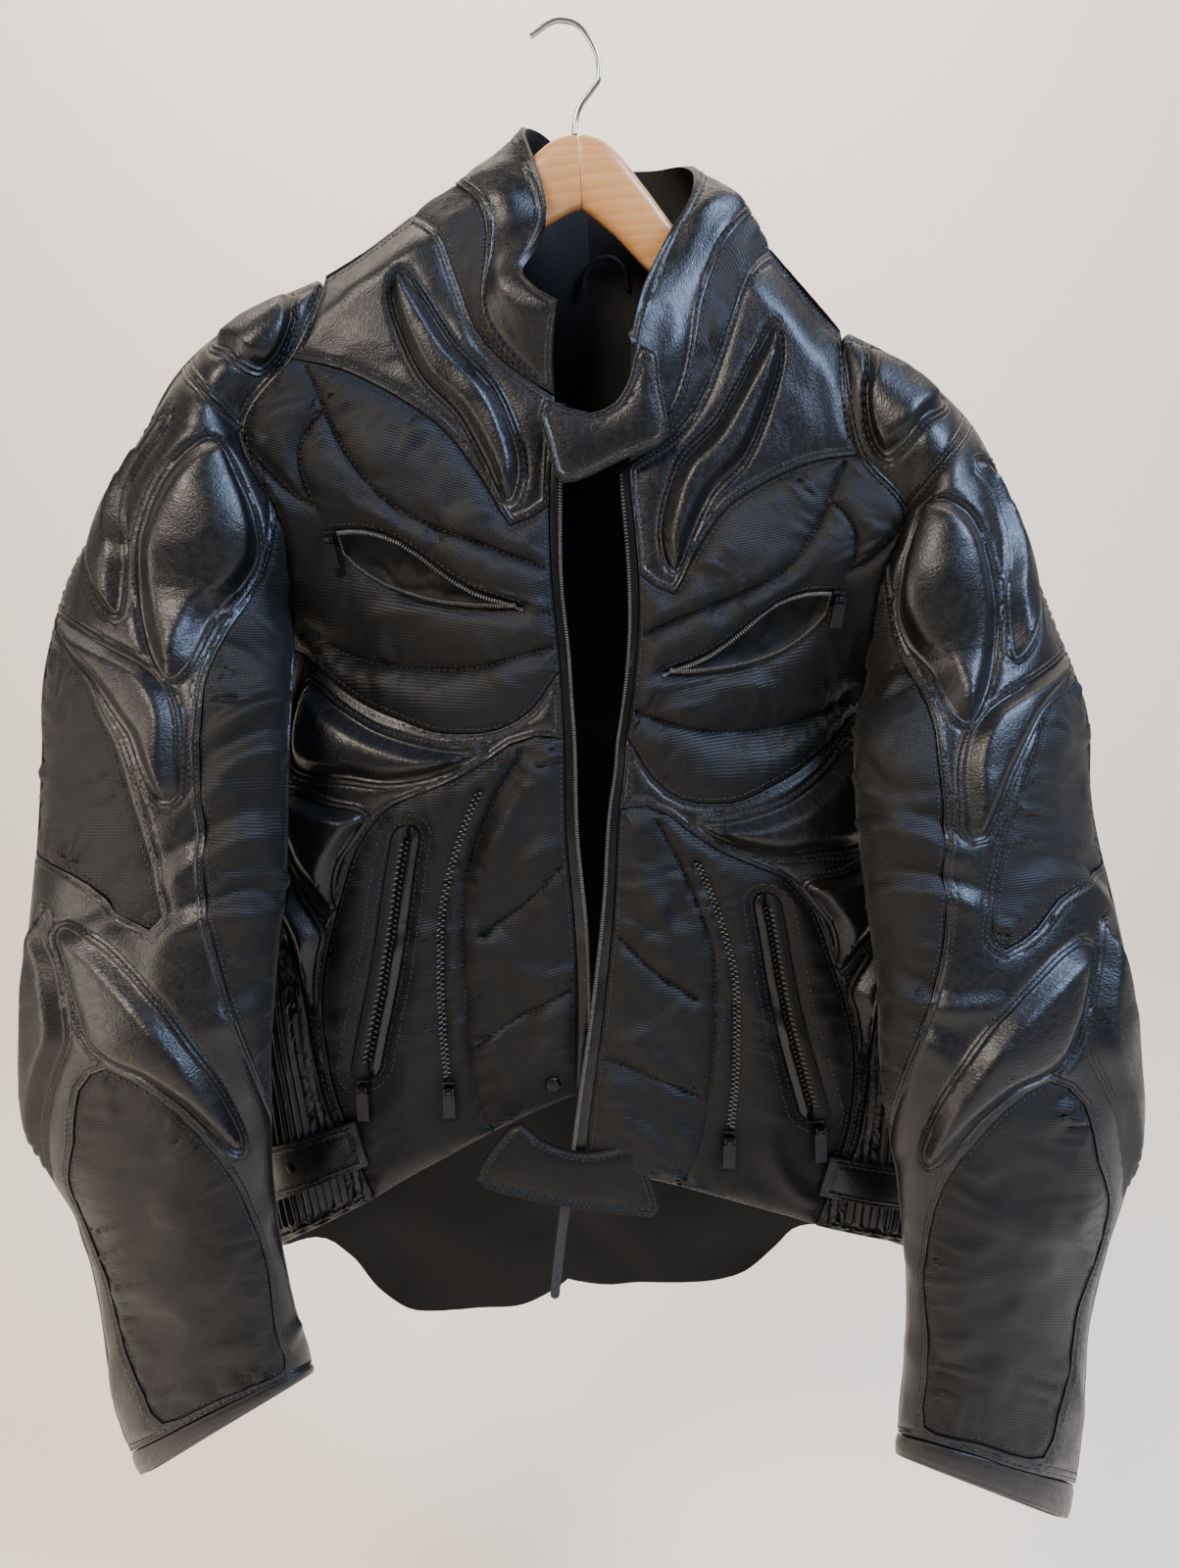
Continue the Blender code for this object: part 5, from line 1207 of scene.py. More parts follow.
YOKE_SEAM = smooth_line(
    [(58, 200), (60, 152), (66, 120), (74, 92), (84, 66), (97, 48), (112, 34), (131, 23), (122, 10),
     (112, 0)]
)
BAND_TOP = smooth_line(
    [(224, 0), (252, 20), (264, 42), (265, 66), (263, 84), (257, 104), (250, 128), (240, 154),
     (230, 178), (228, 200)]
)
BAND_FOOT = smooth_line(
    [(272, 0), (269, 18), (273, 34), (283, 50), (293, 72), (300, 96), (307, 112), (328, 127), (352, 134),
     (386, 143), (412, 146), (444, 144), (474, 140), (508, 131)]
)
RIB_EDGE = smooth_line([(376, 170), (396, 160), (428, 154), (474, 147), (497, 140), (508, 131)])
RIB_HEM = smooth_line([(508, 131), (530, 126), (545, 122)])
HEM = smooth_line([(545, 122), (541, 80), (538, 40), (541, 0)])
MOUTH = joined(
    smooth_line([(184, 20), (180, 52), (170, 76), (159, 98), (157, 122), (162, 147)]),
    smooth_line([(162, 147), (176, 144), (187, 122), (192, 100), (193, 72), (189, 36), (184, 20)]),
)
SPEAR = [(-6, 124), (8, 126), (32, 110), (57, 87), (75, 57), (96, 37), (116, 24), (100, 18), (82, 23),
         (58, 42), (38, 72), (10, 102)]
FINS = (
    [(242, 174), (252, 147), (262, 121), (269, 96), (274, 74), (277, 54), (282, 64), (287, 84),
     (288, 108), (283, 133), (274, 170)],
    [(290, 176), (300, 144), (308, 124), (322, 131), (336, 139), (352, 141), (366, 138), (350, 152),
     (328, 166)],
    [(336, 170), (358, 158), (376, 148), (390, 150), (408, 151), (424, 150), (404, 158), (380, 164),
     (358, 172)],
)
CHEST_QUILTS = (
    [(62, 178), (83, 146), (112, 117), (134, 99), (144, 76), (150, 40), (156, 4)],
    [(124, 194), (144, 172), (150, 156)],
    [(90, 140), (118, 150), (146, 156)],
    [(216, 178), (224, 158), (229, 136), (231, 110), (231, 84), (227, 52), (216, 24), (206, 4)],
)
LOWER_QUILTS = (
    [(278, 26), (308, 43), (356, 60), (390, 64), (430, 64), (486, 62), (520, 56), (536, 50)],
    [(300, 52), (326, 62), (356, 71), (385, 76), (436, 77), (486, 75)],
    [(358, 4), (378, 26), (394, 52)],
    [(446, 4), (456, 34), (466, 58)],
)
POCKET_ZIP = ((326, 97), (394, 107), (462, 121))
POCKET_WELT = 8.5
ZIP_TAPE = (-0.6, -9.0)
BELT = ((492, 128), (492, 184), (521, 184), (521, 122))

CAP_SEAM = smooth_line([(92, 0), (95, 48), (95, 110), (92, 170)])
CAP_POD = [(24, 140), (30, 66), (42, 38), (58, 28), (64, 44), (68, 86), (70, 136)]
BIG_POD = [(124, 56), (143, 84), (165, 100), (190, 106), (215, 105), (242, 100), (266, 92), (280, 84),
           (270, 77), (240, 68), (218, 50), (203, 38), (185, 34), (160, 33), (134, 38)]
OUTER_CRESCENT = [(118, 116), (140, 130), (164, 134), (184, 128), (202, 117), (222, 114), (242, 113),
                  (234, 126), (216, 142), (196, 152), (172, 158), (146, 152), (126, 138)]
MID_CRESCENT = [(246, 158), (256, 126), (270, 98), (286, 86), (306, 81), (334, 80), (356, 80), (360, 86),
                (342, 94), (314, 103), (282, 118), (262, 142)]
OUTER_INSERT = smooth_line(
    [(258, 170), (270, 138), (284, 122), (304, 116), (332, 107), (364, 98), (396, 90), (428, 83),
     (436, 88), (424, 104), (408, 118), (396, 140), (388, 170)]
)
INNER_STRIP = smooth_line(
    [(206, 28), (222, 42), (248, 60), (274, 67), (306, 69), (340, 70), (384, 66), (412, 64), (456, 54),
     (500, 40), (534, 22), (558, 0)]
)
ELBOW_SPEAR = [(436, 128), (442, 114), (461, 98), (488, 80), (518, 64), (548, 48), (568, 39), (575, 43),
               (564, 56), (546, 71), (530, 87), (521, 101), (506, 112), (486, 118), (456, 126)]
ELBOW_OUTER = [(424, 144), (446, 136), (470, 129), (502, 126), (522, 133), (546, 142), (572, 150),
               (594, 160), (560, 162), (500, 160), (450, 156)]
FOREARM_INSERT = smooth_line(
    [(524, 104), (542, 82), (560, 68), (580, 54), (604, 42), (632, 34), (656, 31), (690, 36), (730, 40),
     (764, 41), (766, 80), (764, 121), (740, 128), (714, 136), (690, 142), (668, 143), (640, 151),
     (610, 148), (572, 127), (538, 120)],
    14.0, True,
)


# %% Edges, rounded ends and ribs
def rib_wave(flat):
    """The ribs' height: they run down the piece, slanting a little."""
    return RIB_HEIGHT * (0.5 - 0.5 * np.cos(2 * math.pi * (flat[:, 1] - flat[:, 0] * RIB_SLANT) / RIB_PITCH))


def edge(stations, a, start, end):
    """A piece's edge down one side of its chart, through the stations between start and end."""
    between = [s for s in stations if min(start, end) + 0.5 < s < max(start, end) - 0.5]
    between = sorted([start, end, *between], reverse=bool(start > end))
    return np.array([(s, a) for s in between])


def ring_round(line, reach, count=5):
    """An outline round a short line, at the same reach from it all along, with rounded ends."""
    line = np.array(line, float)
    side = left_of(unit(np.gradient(line, axis=0))) * reach
    ends = []
    for middle, first in ((line[-1], side[-1]), (line[0], -side[0])):
        angles = math.atan2(first[1], first[0]) - np.linspace(0, math.pi, count + 2)[1:-1]
        ends.append(middle + reach * np.stack([np.cos(angles), np.sin(angles)], 1))
    return np.concatenate([line + side, ends[0], (line - side)[::-1], ends[1]])


# %% One side's front
def front_pieces(side):
    """Yoke, chest, leather band, ribs, skirt and what lies on them."""
    sewn = partial(cloth, surface=partial(front_point, side), chart=side + "_front", facing=FORE)
    welt = ring_round(smooth_line(POCKET_ZIP, 14.0), POCKET_WELT, 9)
    a = np.linspace(NECK[1], FRONT_WIDTH, 7)
    shoulder = np.stack([shoulder_seam(a), a], 1)
    side_edge = partial(edge, SIDE_S, FRONT_WIDTH)
    arm_edge = partial(edge, ARMHOLE_S, FRONT_WIDTH)
    sewn(side + "_yoke", kind="leather", pods=[(SPEAR, 6.0, 8.0)], outline=joined(
        shoulder, arm_edge(0, YOKE_SEAT), YOKE_SEAM, straight((112, 0), (58, 0)), NECKLINE))
    chest = joined(YOKE_SEAM[::-1], arm_edge(YOKE_SEAT, PIT), side_edge(PIT, 228), BAND_TOP[::-1],
                   straight((224, 0), (112, 0)))
    chest[(chest == (PIT, FRONT_WIDTH)).all(1), 1] -= CORNER_CUT
    sewn(side + "_chest", kind="textile", holes=[MOUTH], quilts=CHEST_QUILTS, roll=5.2, firm=0.7,
         gather=2.0, tuck=1.8, fold=1.4, outline=chest)
    # The pocket's inside is lining, near black as painted shade in its mouth.
    sewn(side + "_chest_pocket", kind="lining", lift=-WALL - 0.3, sewn=False, wall=1.2, soft=2.4,
         more=(hollow,), outline=MOUTH)
    sewn(side + "_band", kind="leather", pods=[(fin, 7.0, 8.0) for fin in FINS], outline=joined(
        BAND_TOP, side_edge(228, 400), straight((400, 200), (376, 170)), RIB_EDGE, BAND_FOOT[::-1],
        straight((272, 0), (224, 0))))
    sewn(side + "_ribs", kind="leather", ribs=rib_wave, fullness=1.4, outline=joined(
        straight((376, 170), (400, 200)), side_edge(400, 545), straight((545, 200), (545, 122)),
        RIB_HEM[::-1], RIB_EDGE[::-1]))
    sewn(side + "_lower", kind="textile", holes=[welt], quilts=LOWER_QUILTS, roll=4.2, firm=0.8,
         gather=2.0, tuck=2.0, soft=1.6, fold=1.9, outline=joined(
        BAND_FOOT, RIB_HEM, HEM, straight((541, 0), (272, 0))))
    sewn(side + "_pocket_welt", kind="textile", finish="facing", beyond=("tape", beside_zip), lift=1.0,
         wall=3.0, sewn=False, gap=2.0, quilts=[POCKET_ZIP], roll=1.2, gather=0.0, soft=0.2, tuck=0.0,
         more=(welt_shape,), outline=welt)
    sewn(side + "_belt", kind="leather", lift=5.0, sewn=False, fullness=1.2, outline=joined(
        *[straight(BELT[i], BELT[(i + 1) % 4]) for i in range(4)]))
    sewn(side + "_zip_strip", kind="tape", finish="facing", wall=1.4, sewn=False, gap=2.6, soft=0.4,
         outline=joined(straight((60, ZIP_TAPE[0]), (536, ZIP_TAPE[0]), 22.0),
                        straight((536, ZIP_TAPE[1]), (60, ZIP_TAPE[1]), 22.0)))


def beside_zip(piece, flat):
    """How far outward of the pocket's zip a point of the welt lies."""
    line = piece["quilts"][0]
    return flat[:, 1] - np.interp(flat[:, 0], line[:, 0], line[:, 1])


def welt_shape(piece, flat):
    """A channel for the zip, wider where the slider has opened it, and round piping on its front lip."""
    beside = beside_zip(piece, flat)
    channel = 1.5 + 1.2 * ease((flat[:, 0] - 390) / 60)
    return 1.2 * bump(beside, -5.0, 2.2) - 2.2 * bump(beside, 0, channel)


def hollow(piece, flat):
    """The pocket's lining falls back from the mouth's edge."""
    gap = near(flat, piece["seams"][0], True)[0]
    return -5.0 * grown(gap, 5)


for side in SIDES:
    front_pieces(side)
print("front pieces:", len(PIECES))

# %% [markdown]
# ## The sleeves
#
# Pre-curved riding sleeves have a leather cap and arm with big raised pods over foam, ribbed stretch
# inserts at the elbow, and a leather band at the wrist. Each pod is foam under the same leather, held by a
# double row of stitches, so it rises steeply, has a flat crown, and pulls small valleys round its foot.


# %% One sleeve
SOFT_REACH = 40.0


def soft_sleeve(side, face, s, a):
    """The sleeve's chart, with the bend where it leaves the armhole eased over SOFT_REACH off the seam."""
    point = sleeve_point(side, face, s, a)
    share = bump(s, SLEEVE_PIT, 55) * ease((a - 2) / 34) * ease((s - 60) / 60)
    some = share > 0.01
    steps = np.linspace(-0.9 * SOFT_REACH, 0.9 * SOFT_REACH, 9)
    weights = np.cos(steps / SOFT_REACH * math.pi / 2) ** 2
    mean = sum(w * sleeve_point(side, face, s[some] + step, a[some]) for step, w in zip(steps, weights))
    point[some] += (mean / weights.sum() - point[some]) * share[some, None]
    return point


def sleeve_pieces(side):
    """Cap, arm, two textile inserts, forearm insert and back half."""
    fore = partial(soft_sleeve, side, "fore")
    aft = partial(soft_sleeve, side, "aft")
    rows = np.linspace(0, SLEEVE_PIT, 400)
    seat = row_at(SLEEVE_ROWS[side], rows)["seat"]
    stations = np.interp(ARMHOLE_S, seat, rows)
    start, cap, strip_start = stations[0], CAP_SEAM[0, 0], float(np.interp(STRIP_SEAT, seat, rows))
    strip_end, insert_top, insert_foot = INNER_STRIP[-1, 0], OUTER_INSERT[0, 0], OUTER_INSERT[-1, 0]
    inner = np.concatenate([stations, np.arange(238, CUFF_TOP, 8)])
    outer = np.arange(start, CUFF_TOP, 8)
    lead_in = smooth_line([(strip_start, 0), (188, 14), tuple(INNER_STRIP[0])])[:-1]
    strip = np.concatenate([lead_in, INNER_STRIP])
    cuff = straight((CUFF_TOP, 0), (CUFF_TOP, SLEEVE_SPAN), 21.25)
    sewn = partial(cloth, surface=fore, chart=side + "_sleeve", facing=FORE, width=sleeve_width(side, "fore"))
    sewn(side + "_cap", kind="leather", pods=[(CAP_POD, 5.0, 7.0)], outline=joined(
        CAP_SEAM, edge(outer, SLEEVE_SPAN, cap, start), straight((start, SLEEVE_SPAN), (start, 0), 200),
        edge(inner, 0, start, cap)))
    sewn(side + "_arm", kind="leather", holes=[FOREARM_INSERT], more=(pleats,),
         pods=[(BIG_POD, 8.0, 11.0), (OUTER_CRESCENT, 6.0, 8.0), (MID_CRESCENT, 6.0, 8.0),
               (ELBOW_SPEAR, 6.0, 9.0), (ELBOW_OUTER, 6.0, 9.0)],
         outline=joined(
             edge(inner, 0, cap, strip_start), strip, edge(inner, 0, strip_end, CUFF_TOP), cuff,
             edge(outer, SLEEVE_SPAN, CUFF_TOP, insert_foot), OUTER_INSERT[::-1],
             edge(outer, SLEEVE_SPAN, insert_top, cap), CAP_SEAM[::-1]))
    sewn(side + "_inner_strip", kind="textile", tuck=2.6, soft=1.6, fold=1.5, outline=joined(
        edge(inner, 0, strip_start, strip_end), strip[::-1]))
    sewn(side + "_outer_insert", kind="textile", tuck=2.4, soft=1.8, fold=1.5, outline=joined(
        OUTER_INSERT, edge(outer, SLEEVE_SPAN, insert_foot, insert_top)))
    sewn(side + "_forearm_insert", kind="textile", tuck=2.6, soft=1.8, fold=1.5, outline=FOREARM_INSERT)
    cloth(side + "_sleeve_back", aft, joined(
        edge(inner, 0, start, CUFF_TOP), cuff, edge(outer, SLEEVE_SPAN, CUFF_TOP, start),
        straight((start, SLEEVE_SPAN), (start, 0), 200)),
        "leather", AFT, gap=5.0, chart=side + "_sleeve_back", width=sleeve_width(side, "aft"))
    return fore, aft


def pleats(piece, flat):
    """Fine accordion pleats along the outer edge of the upper arm, where the leather stretches."""
    a = flat[:, 1] / piece["width"](flat[:, 0])
    zone = ease((a - 150) / 8) * ease((flat[:, 0] - 112) / 12) * ease((262 - flat[:, 0]) / 16)
    return 1.1 * zone * (0.5 - 0.5 * np.cos(2 * math.pi * flat[:, 0] / 4.2))


def cuff_band(side, fore, aft):
    """A padded band, its section run round the end of the tube."""
    across = np.linspace(0, SLEEVE_SPAN, 60)
    section = ((0.5, -WALL), (0.5, 0.9), (1.2, 1.5), (2.2, 1.3), (3.0, 1.8), (6, 2.1), (10, 2.1), (13.6, 1.8),
               (14.4, 1.3), (15.4, 1.5), (16.6, 0.9), (17, 0), (17, -WALL), (8, -WALL))
    rings = []
    for down, lift in section:
        parts = []
        for surface, a_list in ((fore, across), (aft, across[-2:0:-1])):
            s_list = np.full(len(a_list), CUFF_TOP + down)
            spots = surface(s_list, a_list)
            parts.append((spots, surface(s_list + 1, a_list) - surface(s_list - 1, a_list)))
        spots, run = (np.concatenate([part[i] for part in parts]) for i in (0, 1))
        out = unit(np.cross(run, np.roll(spots, -2, 0) - np.roll(spots, 2, 0)))
        out *= np.sign(((spots - spots.mean(0)) * out).sum())
        rings.append(spots + out * (lift + 0.25 * ripple(spots, 30, 5) * (lift > 0))[:, None])
    count = len(rings[0])
    points = np.concatenate(rings)
    faces = []
    for one in range(len(rings)):
        other = (one + 1) % len(rings)
        for i in range(count):
            j = (i + 1) % count
            faces.append((one * count + i, one * count + j, other * count + j, other * count + i))
    made = new_mesh(side + "_cuff_cloth", points, faces, [FINISHES["leather"]])
    set_pattern(made, np.array([(down, i * 2.3) for down, _ in section for i in range(count)]))
    turn_outward(made)
    ride(made, "leather")
    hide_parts(side + "_cuff")


for side in SIDES:
    cuff_band(side, *sleeve_pieces(side))
print("with sleeves:", len(PIECES))

# %% [markdown]
# ## The back and the collar
#
# The back is one textile panel from the shoulder seams to a long rounded tail, and it shows through the
# open front as the dark inside. The collar is a textile stand with a leather leaf above it.

# %% The back
TAIL = smooth_line(
    [(545, 0), (547, 40), (565, 60), (593, 76), (616, 94), (630, 112), (648, 140), (671, 170),
     (680, 196), (672, 216), (654, 234), (636, 257), (626, 270), (609, 285), (581, 301), (558, 314),
     (547, 340), (545, 400)], 7.0,
)


def back_piece():
    """The back: one panel from the shoulder seams and neckline to the long rounded tail."""
    a = np.linspace(FRONT_WIDTH, NECK[1], 7)
    half = np.stack([shoulder_seam(a), FRONT_WIDTH - a], 1)
    neck = np.concatenate([back_neck("left", np.linspace(0, 1, 7)),
                           back_neck("right", np.linspace(1, 0, 7))[1:]])
    right_half = np.stack([half[:, 0], BACK_SPAN - half[:, 1]], 1)[::-1]
    stations = np.concatenate([[0], ARMHOLE_S, SIDE_S])
    cloth("back", back_point, joined(
        half, neck, right_half, edge(stations, BACK_SPAN, 0, 545), TAIL[::-1], edge(stations, 0, 545, 0)),
        "textile", AFT, gap=5.0, chart="back", soft=1.6, seam=-0.3)


# %% Collar, tab, patch and strap
COLLAR_BREAK = [(8, 2), (30, 8), (50, 15), (75, 25), (100, 27), (126, 23), (160, 19), (230, 16)]
TAB = [(33, -172), (43, -177), (44, -193), (47, -225), (22, -236), (-15, -248), (-24, -223), (-28, -209),
       (-24, -199), (-11, -205), (3, -209), (18, -204), (27, -190)]
TAB_DEPTH = -48.2
PATCH = [(-95, -682), (-72, -648), (-64, -645), (-52, -657), (-33, -666), (-15, -667), (8, -662),
         (11, -666), (22, -709), (17, -714), (-34, -705), (-64, -697)]
PATCH_DEPTH = -59.6
PATCH_LEAN = 0.03
PATCH_WALL = 1.6
STRAP = ((-33, -676), (-41, -715), (-49, -765))
STRAP_HALF = 3.2


def collar_pieces(side):
    """Half the collar: a textile band sewn to the neckline, and the leather collar above it."""
    sewn = partial(cloth, surface=partial(collar_point, side), facing=(OUTWARD[side], 0, 0.3), gap=2.7,
                   seam=-0.3, chart=side + "_collar")
    steps = lengths(NECKLINE)
    front_s = steps[1:] / steps[-1] * COLLAR_AT_SHOULDER
    seam_s = np.concatenate([front_s, np.linspace(COLLAR_AT_SHOULDER, COLLAR_LENGTH, 7)[1:]])
    break_line = smooth_line(COLLAR_BREAK, 14.0)
    top = straight((0, COLLAR_HEIGHT), (230, COLLAR_HEIGHT), 14.0)
    low = np.array([(s, 0) for s in seam_s])
    sewn(side + "_collar_band", kind="textile", outline=joined(
        low, straight((230, 0), (230, 16), 16), break_line[::-1]))
    sewn(side + "_collar", kind="leather", outline=joined(
        break_line, straight((230, 16), (230, COLLAR_HEIGHT), 14.0), top[::-1],
        straight((0, COLLAR_HEIGHT), (0, 2), 12.0)))


def loose_pieces():
    """The neck tab, the bare patch on the front's corner and the strap that hangs behind it."""
    cloth("neck_tab", partial(plane_point, TAB_DEPTH, 0), smooth_line(TAB, 10.0, True), "leather", FORE,
          sewn=False, gap=3.0, sway=0.0)
    cloth("patch", partial(plane_point, PATCH_DEPTH, PATCH_LEAN), smooth_line(PATCH, 12.0, True), "leather",
          FORE, sewn=False, wall=PATCH_WALL, gap=3.0, sway=0.0, finish="patch")
    cloth("strap", partial(plane_point, PATCH_DEPTH + PATCH_WALL + 0.7, PATCH_LEAN),
          ring_round(smooth_line(STRAP, 22.0), STRAP_HALF, 9), "leather", FORE, sewn=False, wall=PATCH_WALL,
          gap=2.0, sway=0.0, finish="grey_leather")


back_piece()
for side in SIDES:
    collar_pieces(side)
loose_pieces()
print("all cloth:", len(PIECES))

# %% [markdown]
# ## Stitches
#
# Leather panels are lapped and sewn twice, 2 and 5 mm from the edge. Each row pulls a shallow valley into
# the leather, and its stitches lie in the valley as short raised dashes. A texture could only draw the
# dashes, and a curve with a bevel would be a cord, so each stitch is a small four-sided spindle.

# %% Rows of stitches
STITCH_PITCH, STITCH_HALF, THREAD = 3.6, 1.3, 0.42
POCKET_ROW = 7.5


def stitch_line(piece, line, closed, offset, proud=0.12, rule=0):
    """Centres, directions along the row and outward directions of the stitches beside a line."""
    points = spaced(line, 1.0, closed)
    run = unit(np.roll(points, -1, 0) - np.roll(points, 1, 0) if closed else np.gradient(points, axis=0))
    points = points + left_of(run) * offset
    good = near(points, line, closed)[0] > abs(offset) - 0.3
    good &= within(piece, points, 0.9) & (ruled(piece, points)[3][rule] > 0.45)
    steps = np.linalg.norm(np.diff(points, axis=0, prepend=points[:1]), axis=1)
    count = np.floor(np.cumsum(np.minimum(steps, 3)) / STITCH_PITCH)
    pick = np.flatnonzero(good & (np.diff(count, prepend=-1) > 0))
    if not len(pick):
        return np.zeros((0, 3, 3))
    middle, aim = lifted(piece, points[pick], proud)
    ahead, behind = (lifted(piece, points[pick] + run[pick] * step, proud)[0]
                     for step in (STITCH_HALF, -STITCH_HALF))
    return np.stack([middle, (ahead - behind) / 2, aim], 1)


# %% Stitches as spindles
def spindles(name, spots, radius, slot, finish):
    """One object of many stitches: each a four-sided spindle along its direction."""
    middle, half, up = spots[:, 0], spots[:, 1], spots[:, 2]
    side = unit(np.cross(half, up))
    rings = [middle - half]
    for t in (-0.55, 0.55):
        rings += [middle + half * t + (side * c + up * s) * radius
                  for c, s in ((1, 0), (0, 1), (-1, 0), (0, -1))]
    rings.append(middle + half)
    points = np.stack(rings, 1).reshape(-1, 3)
    first = np.arange(len(spots))[:, None, None] * len(rings)
    around = [(i, (i + 1) % 4) for i in range(4)]
    quads = np.array([(1 + i, 5 + i, 5 + j, 1 + j) for i, j in around])
    ends = np.array([(0, 1 + i, 1 + j) for i, j in around] + [(9, 5 + j, 5 + i) for i, j in around])
    faces = (first + quads).reshape(-1, 4).tolist() + (first + ends).reshape(-1, 3).tolist()
    ride(new_mesh(name, points, faces, [FINISHES[finish]]), slot)


def seam_stitches(piece):
    """Every row on one piece: two along leather edges, two round each pod, one on each quilted line."""
    rows = []
    offsets = LEATHER_ROWS if piece["kind"] == "leather" else (TEXTILE_ROW,)
    for number, loop in enumerate(piece["seams"]):
        beside = (*offsets, POCKET_ROW) if number and piece["name"].endswith("_lower") else offsets
        rows += [stitch_line(piece, loop, True, -off if number else off) for off in beside]
    for number, (loop, _, _) in enumerate(piece["pods"]):
        turn = np.sign(turning(loop))
        rows += [stitch_line(piece, loop, True, -off * turn, rule=number + 1) for off in POD_ROWS]
    rows += [stitch_line(piece, line, False, 0.01, 0.2) for line in piece["quilts"]]
    return rows


def sew(name, members):
    """One object with every stitch of some pieces."""
    spots = np.concatenate([row for member in members for row in seam_stitches(PIECES[member])])
    spindles(name + "_stitches", spots, THREAD, "leather", "thread")
    print(name, "stitches:", len(spots))


SEWN_TOGETHER = {
    "front": ("yoke", "chest", "band", "lower", "belt"),
    "sleeve": ("cap", "arm"),
    "inset": ("inner_strip", "outer_insert", "forearm_insert", "sleeve_back"),
    "collar": ("collar", "collar_band"),
}
for side in SIDES:
    for group, members in SEWN_TOGETHER.items():
        sew(f"{side}_{group}", [f"{side}_{member}" for member in members])
sew("loose", ("neck_tab", "patch", "back"))

# %% [markdown]
# ## Zips
#
# The main zip and the pockets have coil teeth: two nylon spirals whose turns lock. Seen from arm's length
# each turn is a small shiny bead 1.7 mm from the next. Each bead is again a spindle, laid across its edge.

# %% Coil teeth along a line on a piece
TOOTH_PITCH, TOOTH_HALF, TOOTH_RADIUS, TOOTH_HEIGHT = 1.7, 1.5, 0.62, 0.9


def teeth(piece, line, offset=0.0, alternate=0.0):
    """Beads across a line drawn on the flat pattern of a piece."""
    points = spaced(spaced(line, 1.0), TOOTH_PITCH)
    points = read_along(points, np.arange(TOOTH_PITCH, lengths(points)[-1] - TOOTH_PITCH, TOOTH_PITCH))
    across = left_of(unit(np.gradient(points, axis=0)))
    shift = offset + alternate * (np.arange(len(points)) % 2 * 2 - 1)
    points = points + across * shift[:, None]
    middle, aim = lifted(piece, points, TOOTH_HEIGHT)
    side, _ = lifted(piece, points + across * TOOTH_HALF, TOOTH_HEIGHT)
    return np.stack([middle, side - middle, aim], 1)


for side in SIDES:
    strip, lower, chest, welt = (PIECES[f"{side}_{kind}"]
                                 for kind in ("zip_strip", "lower", "chest", "pocket_welt"))
    free_edge = to_flat(strip, np.array([(s, ZIP_TAPE[1] + 1.6) for s in range(62, 534, 4)], float))
    lip = chest["seams"][1]
    rows = [
        teeth(strip, free_edge),
        teeth(lower, lower["quilts"][1], alternate=0.9),
        teeth(welt, welt["quilts"][0], alternate=1.4),
        teeth(chest, np.concatenate([lip, lip[:1]]), offset=2.0),
    ]
    # The teeth take the nylon coil finish, whose grey is partly painted highlight.
    spindles(side + "_coil_teeth", np.concatenate(rows), TOOTH_RADIUS, "tape", "teeth")
    print(side, "teeth:", sum(map(len, rows)))

# %% [markdown]
# ## The hanger
#
# A contoured hanger is sawn from thick maple in two halves, glued at the middle, turned over at the arms
# and lacquered. Its hook is a bent, plated wire screwed into the joint. The bar is lofted from a table of
# its height and thickness, and the hook is a curve with a round bevel, which is what a wire is.

# %% Maple
def maple():
    """Straight-grained maple under clear lacquer. Its rings are 6 mm apart, with fine pores between them."""
    material, tree, shader = start("lacquered maple", 0.32, Coat_Weight=0.35, Coat_Roughness=0.12, IOR=1.45)
    place = add(tree, "ShaderNodeTexCoord").outputs["Object"]
    turned = add(tree, "ShaderNodeMapping", {"Vector": place, "Rotation": (0, math.radians(6), 0),
                                             "Scale": (0.25, 1, 1)})
    rings = add(tree, "ShaderNodeTexWave", {"Vector": turned.outputs["Vector"], "Scale": WAVE / 0.006,
                                            "Distortion": 9.0, "Detail": 3.0, "Detail Scale": 0.6},
                bands_direction="Z", wave_profile="SAW")
    fibres = add(tree, "ShaderNodeMapping", {"Vector": place, "Scale": (0.05, 1, 1)})
    pores = add(tree, "ShaderNodeTexNoise", {"Vector": fibres.outputs["Vector"], "Scale": 1 / 0.0009,
                                             "Detail": 3.0})
    shades(tree, shader, product(tree, rings.outputs["Fac"], pores.outputs["Fac"]), "#b9814b", "#cf9c66")
    bumps(tree, shader, pores.outputs["Fac"], 0.12, 0.0003)
    return material


# %% The bar
FINISHES["maple"] = maple()
WOOD_ROWS = table(
    "x top low half",
    (-124, -124.5, -137, 3.5),
    (-110, -117.5, -134, 6),
    (-90, -112.5, -130, 6),
    (-71, -113, -129, 6),
    (-48, -92, -120, 6.5),
    (-24, -70, -109, 7),
    (-11, -61, -103, 7),
    (2, -58, -98, 7),
    (19, -63, -110, 7),
    (41, -89, -133, 6.5),
    (57, -111, -145, 6),
    (81, -133, -154, 6),
    (104, -142.5, -161, 6),
    (126, -155, -169, 3.5),
)
BAR_SQUARE = (0.75, 0.8)
HOOK_WIRE = 1.6
HOOK = [(-20, -6), (-15, -3), (-10, 0), (-3, 1.6), (6, -1), (13, -9), (17, -19), (17, -29), (13, -35),
        (6, -43), (3, -50), (2, -57.7)]
LOOP = [(2, -141), (4, -132), (9, -126), (15, -124), (21, -125), (26, -131), (28, -142)]
LOOP_DEPTH = 40.3
LOOP_CORD = 1.6


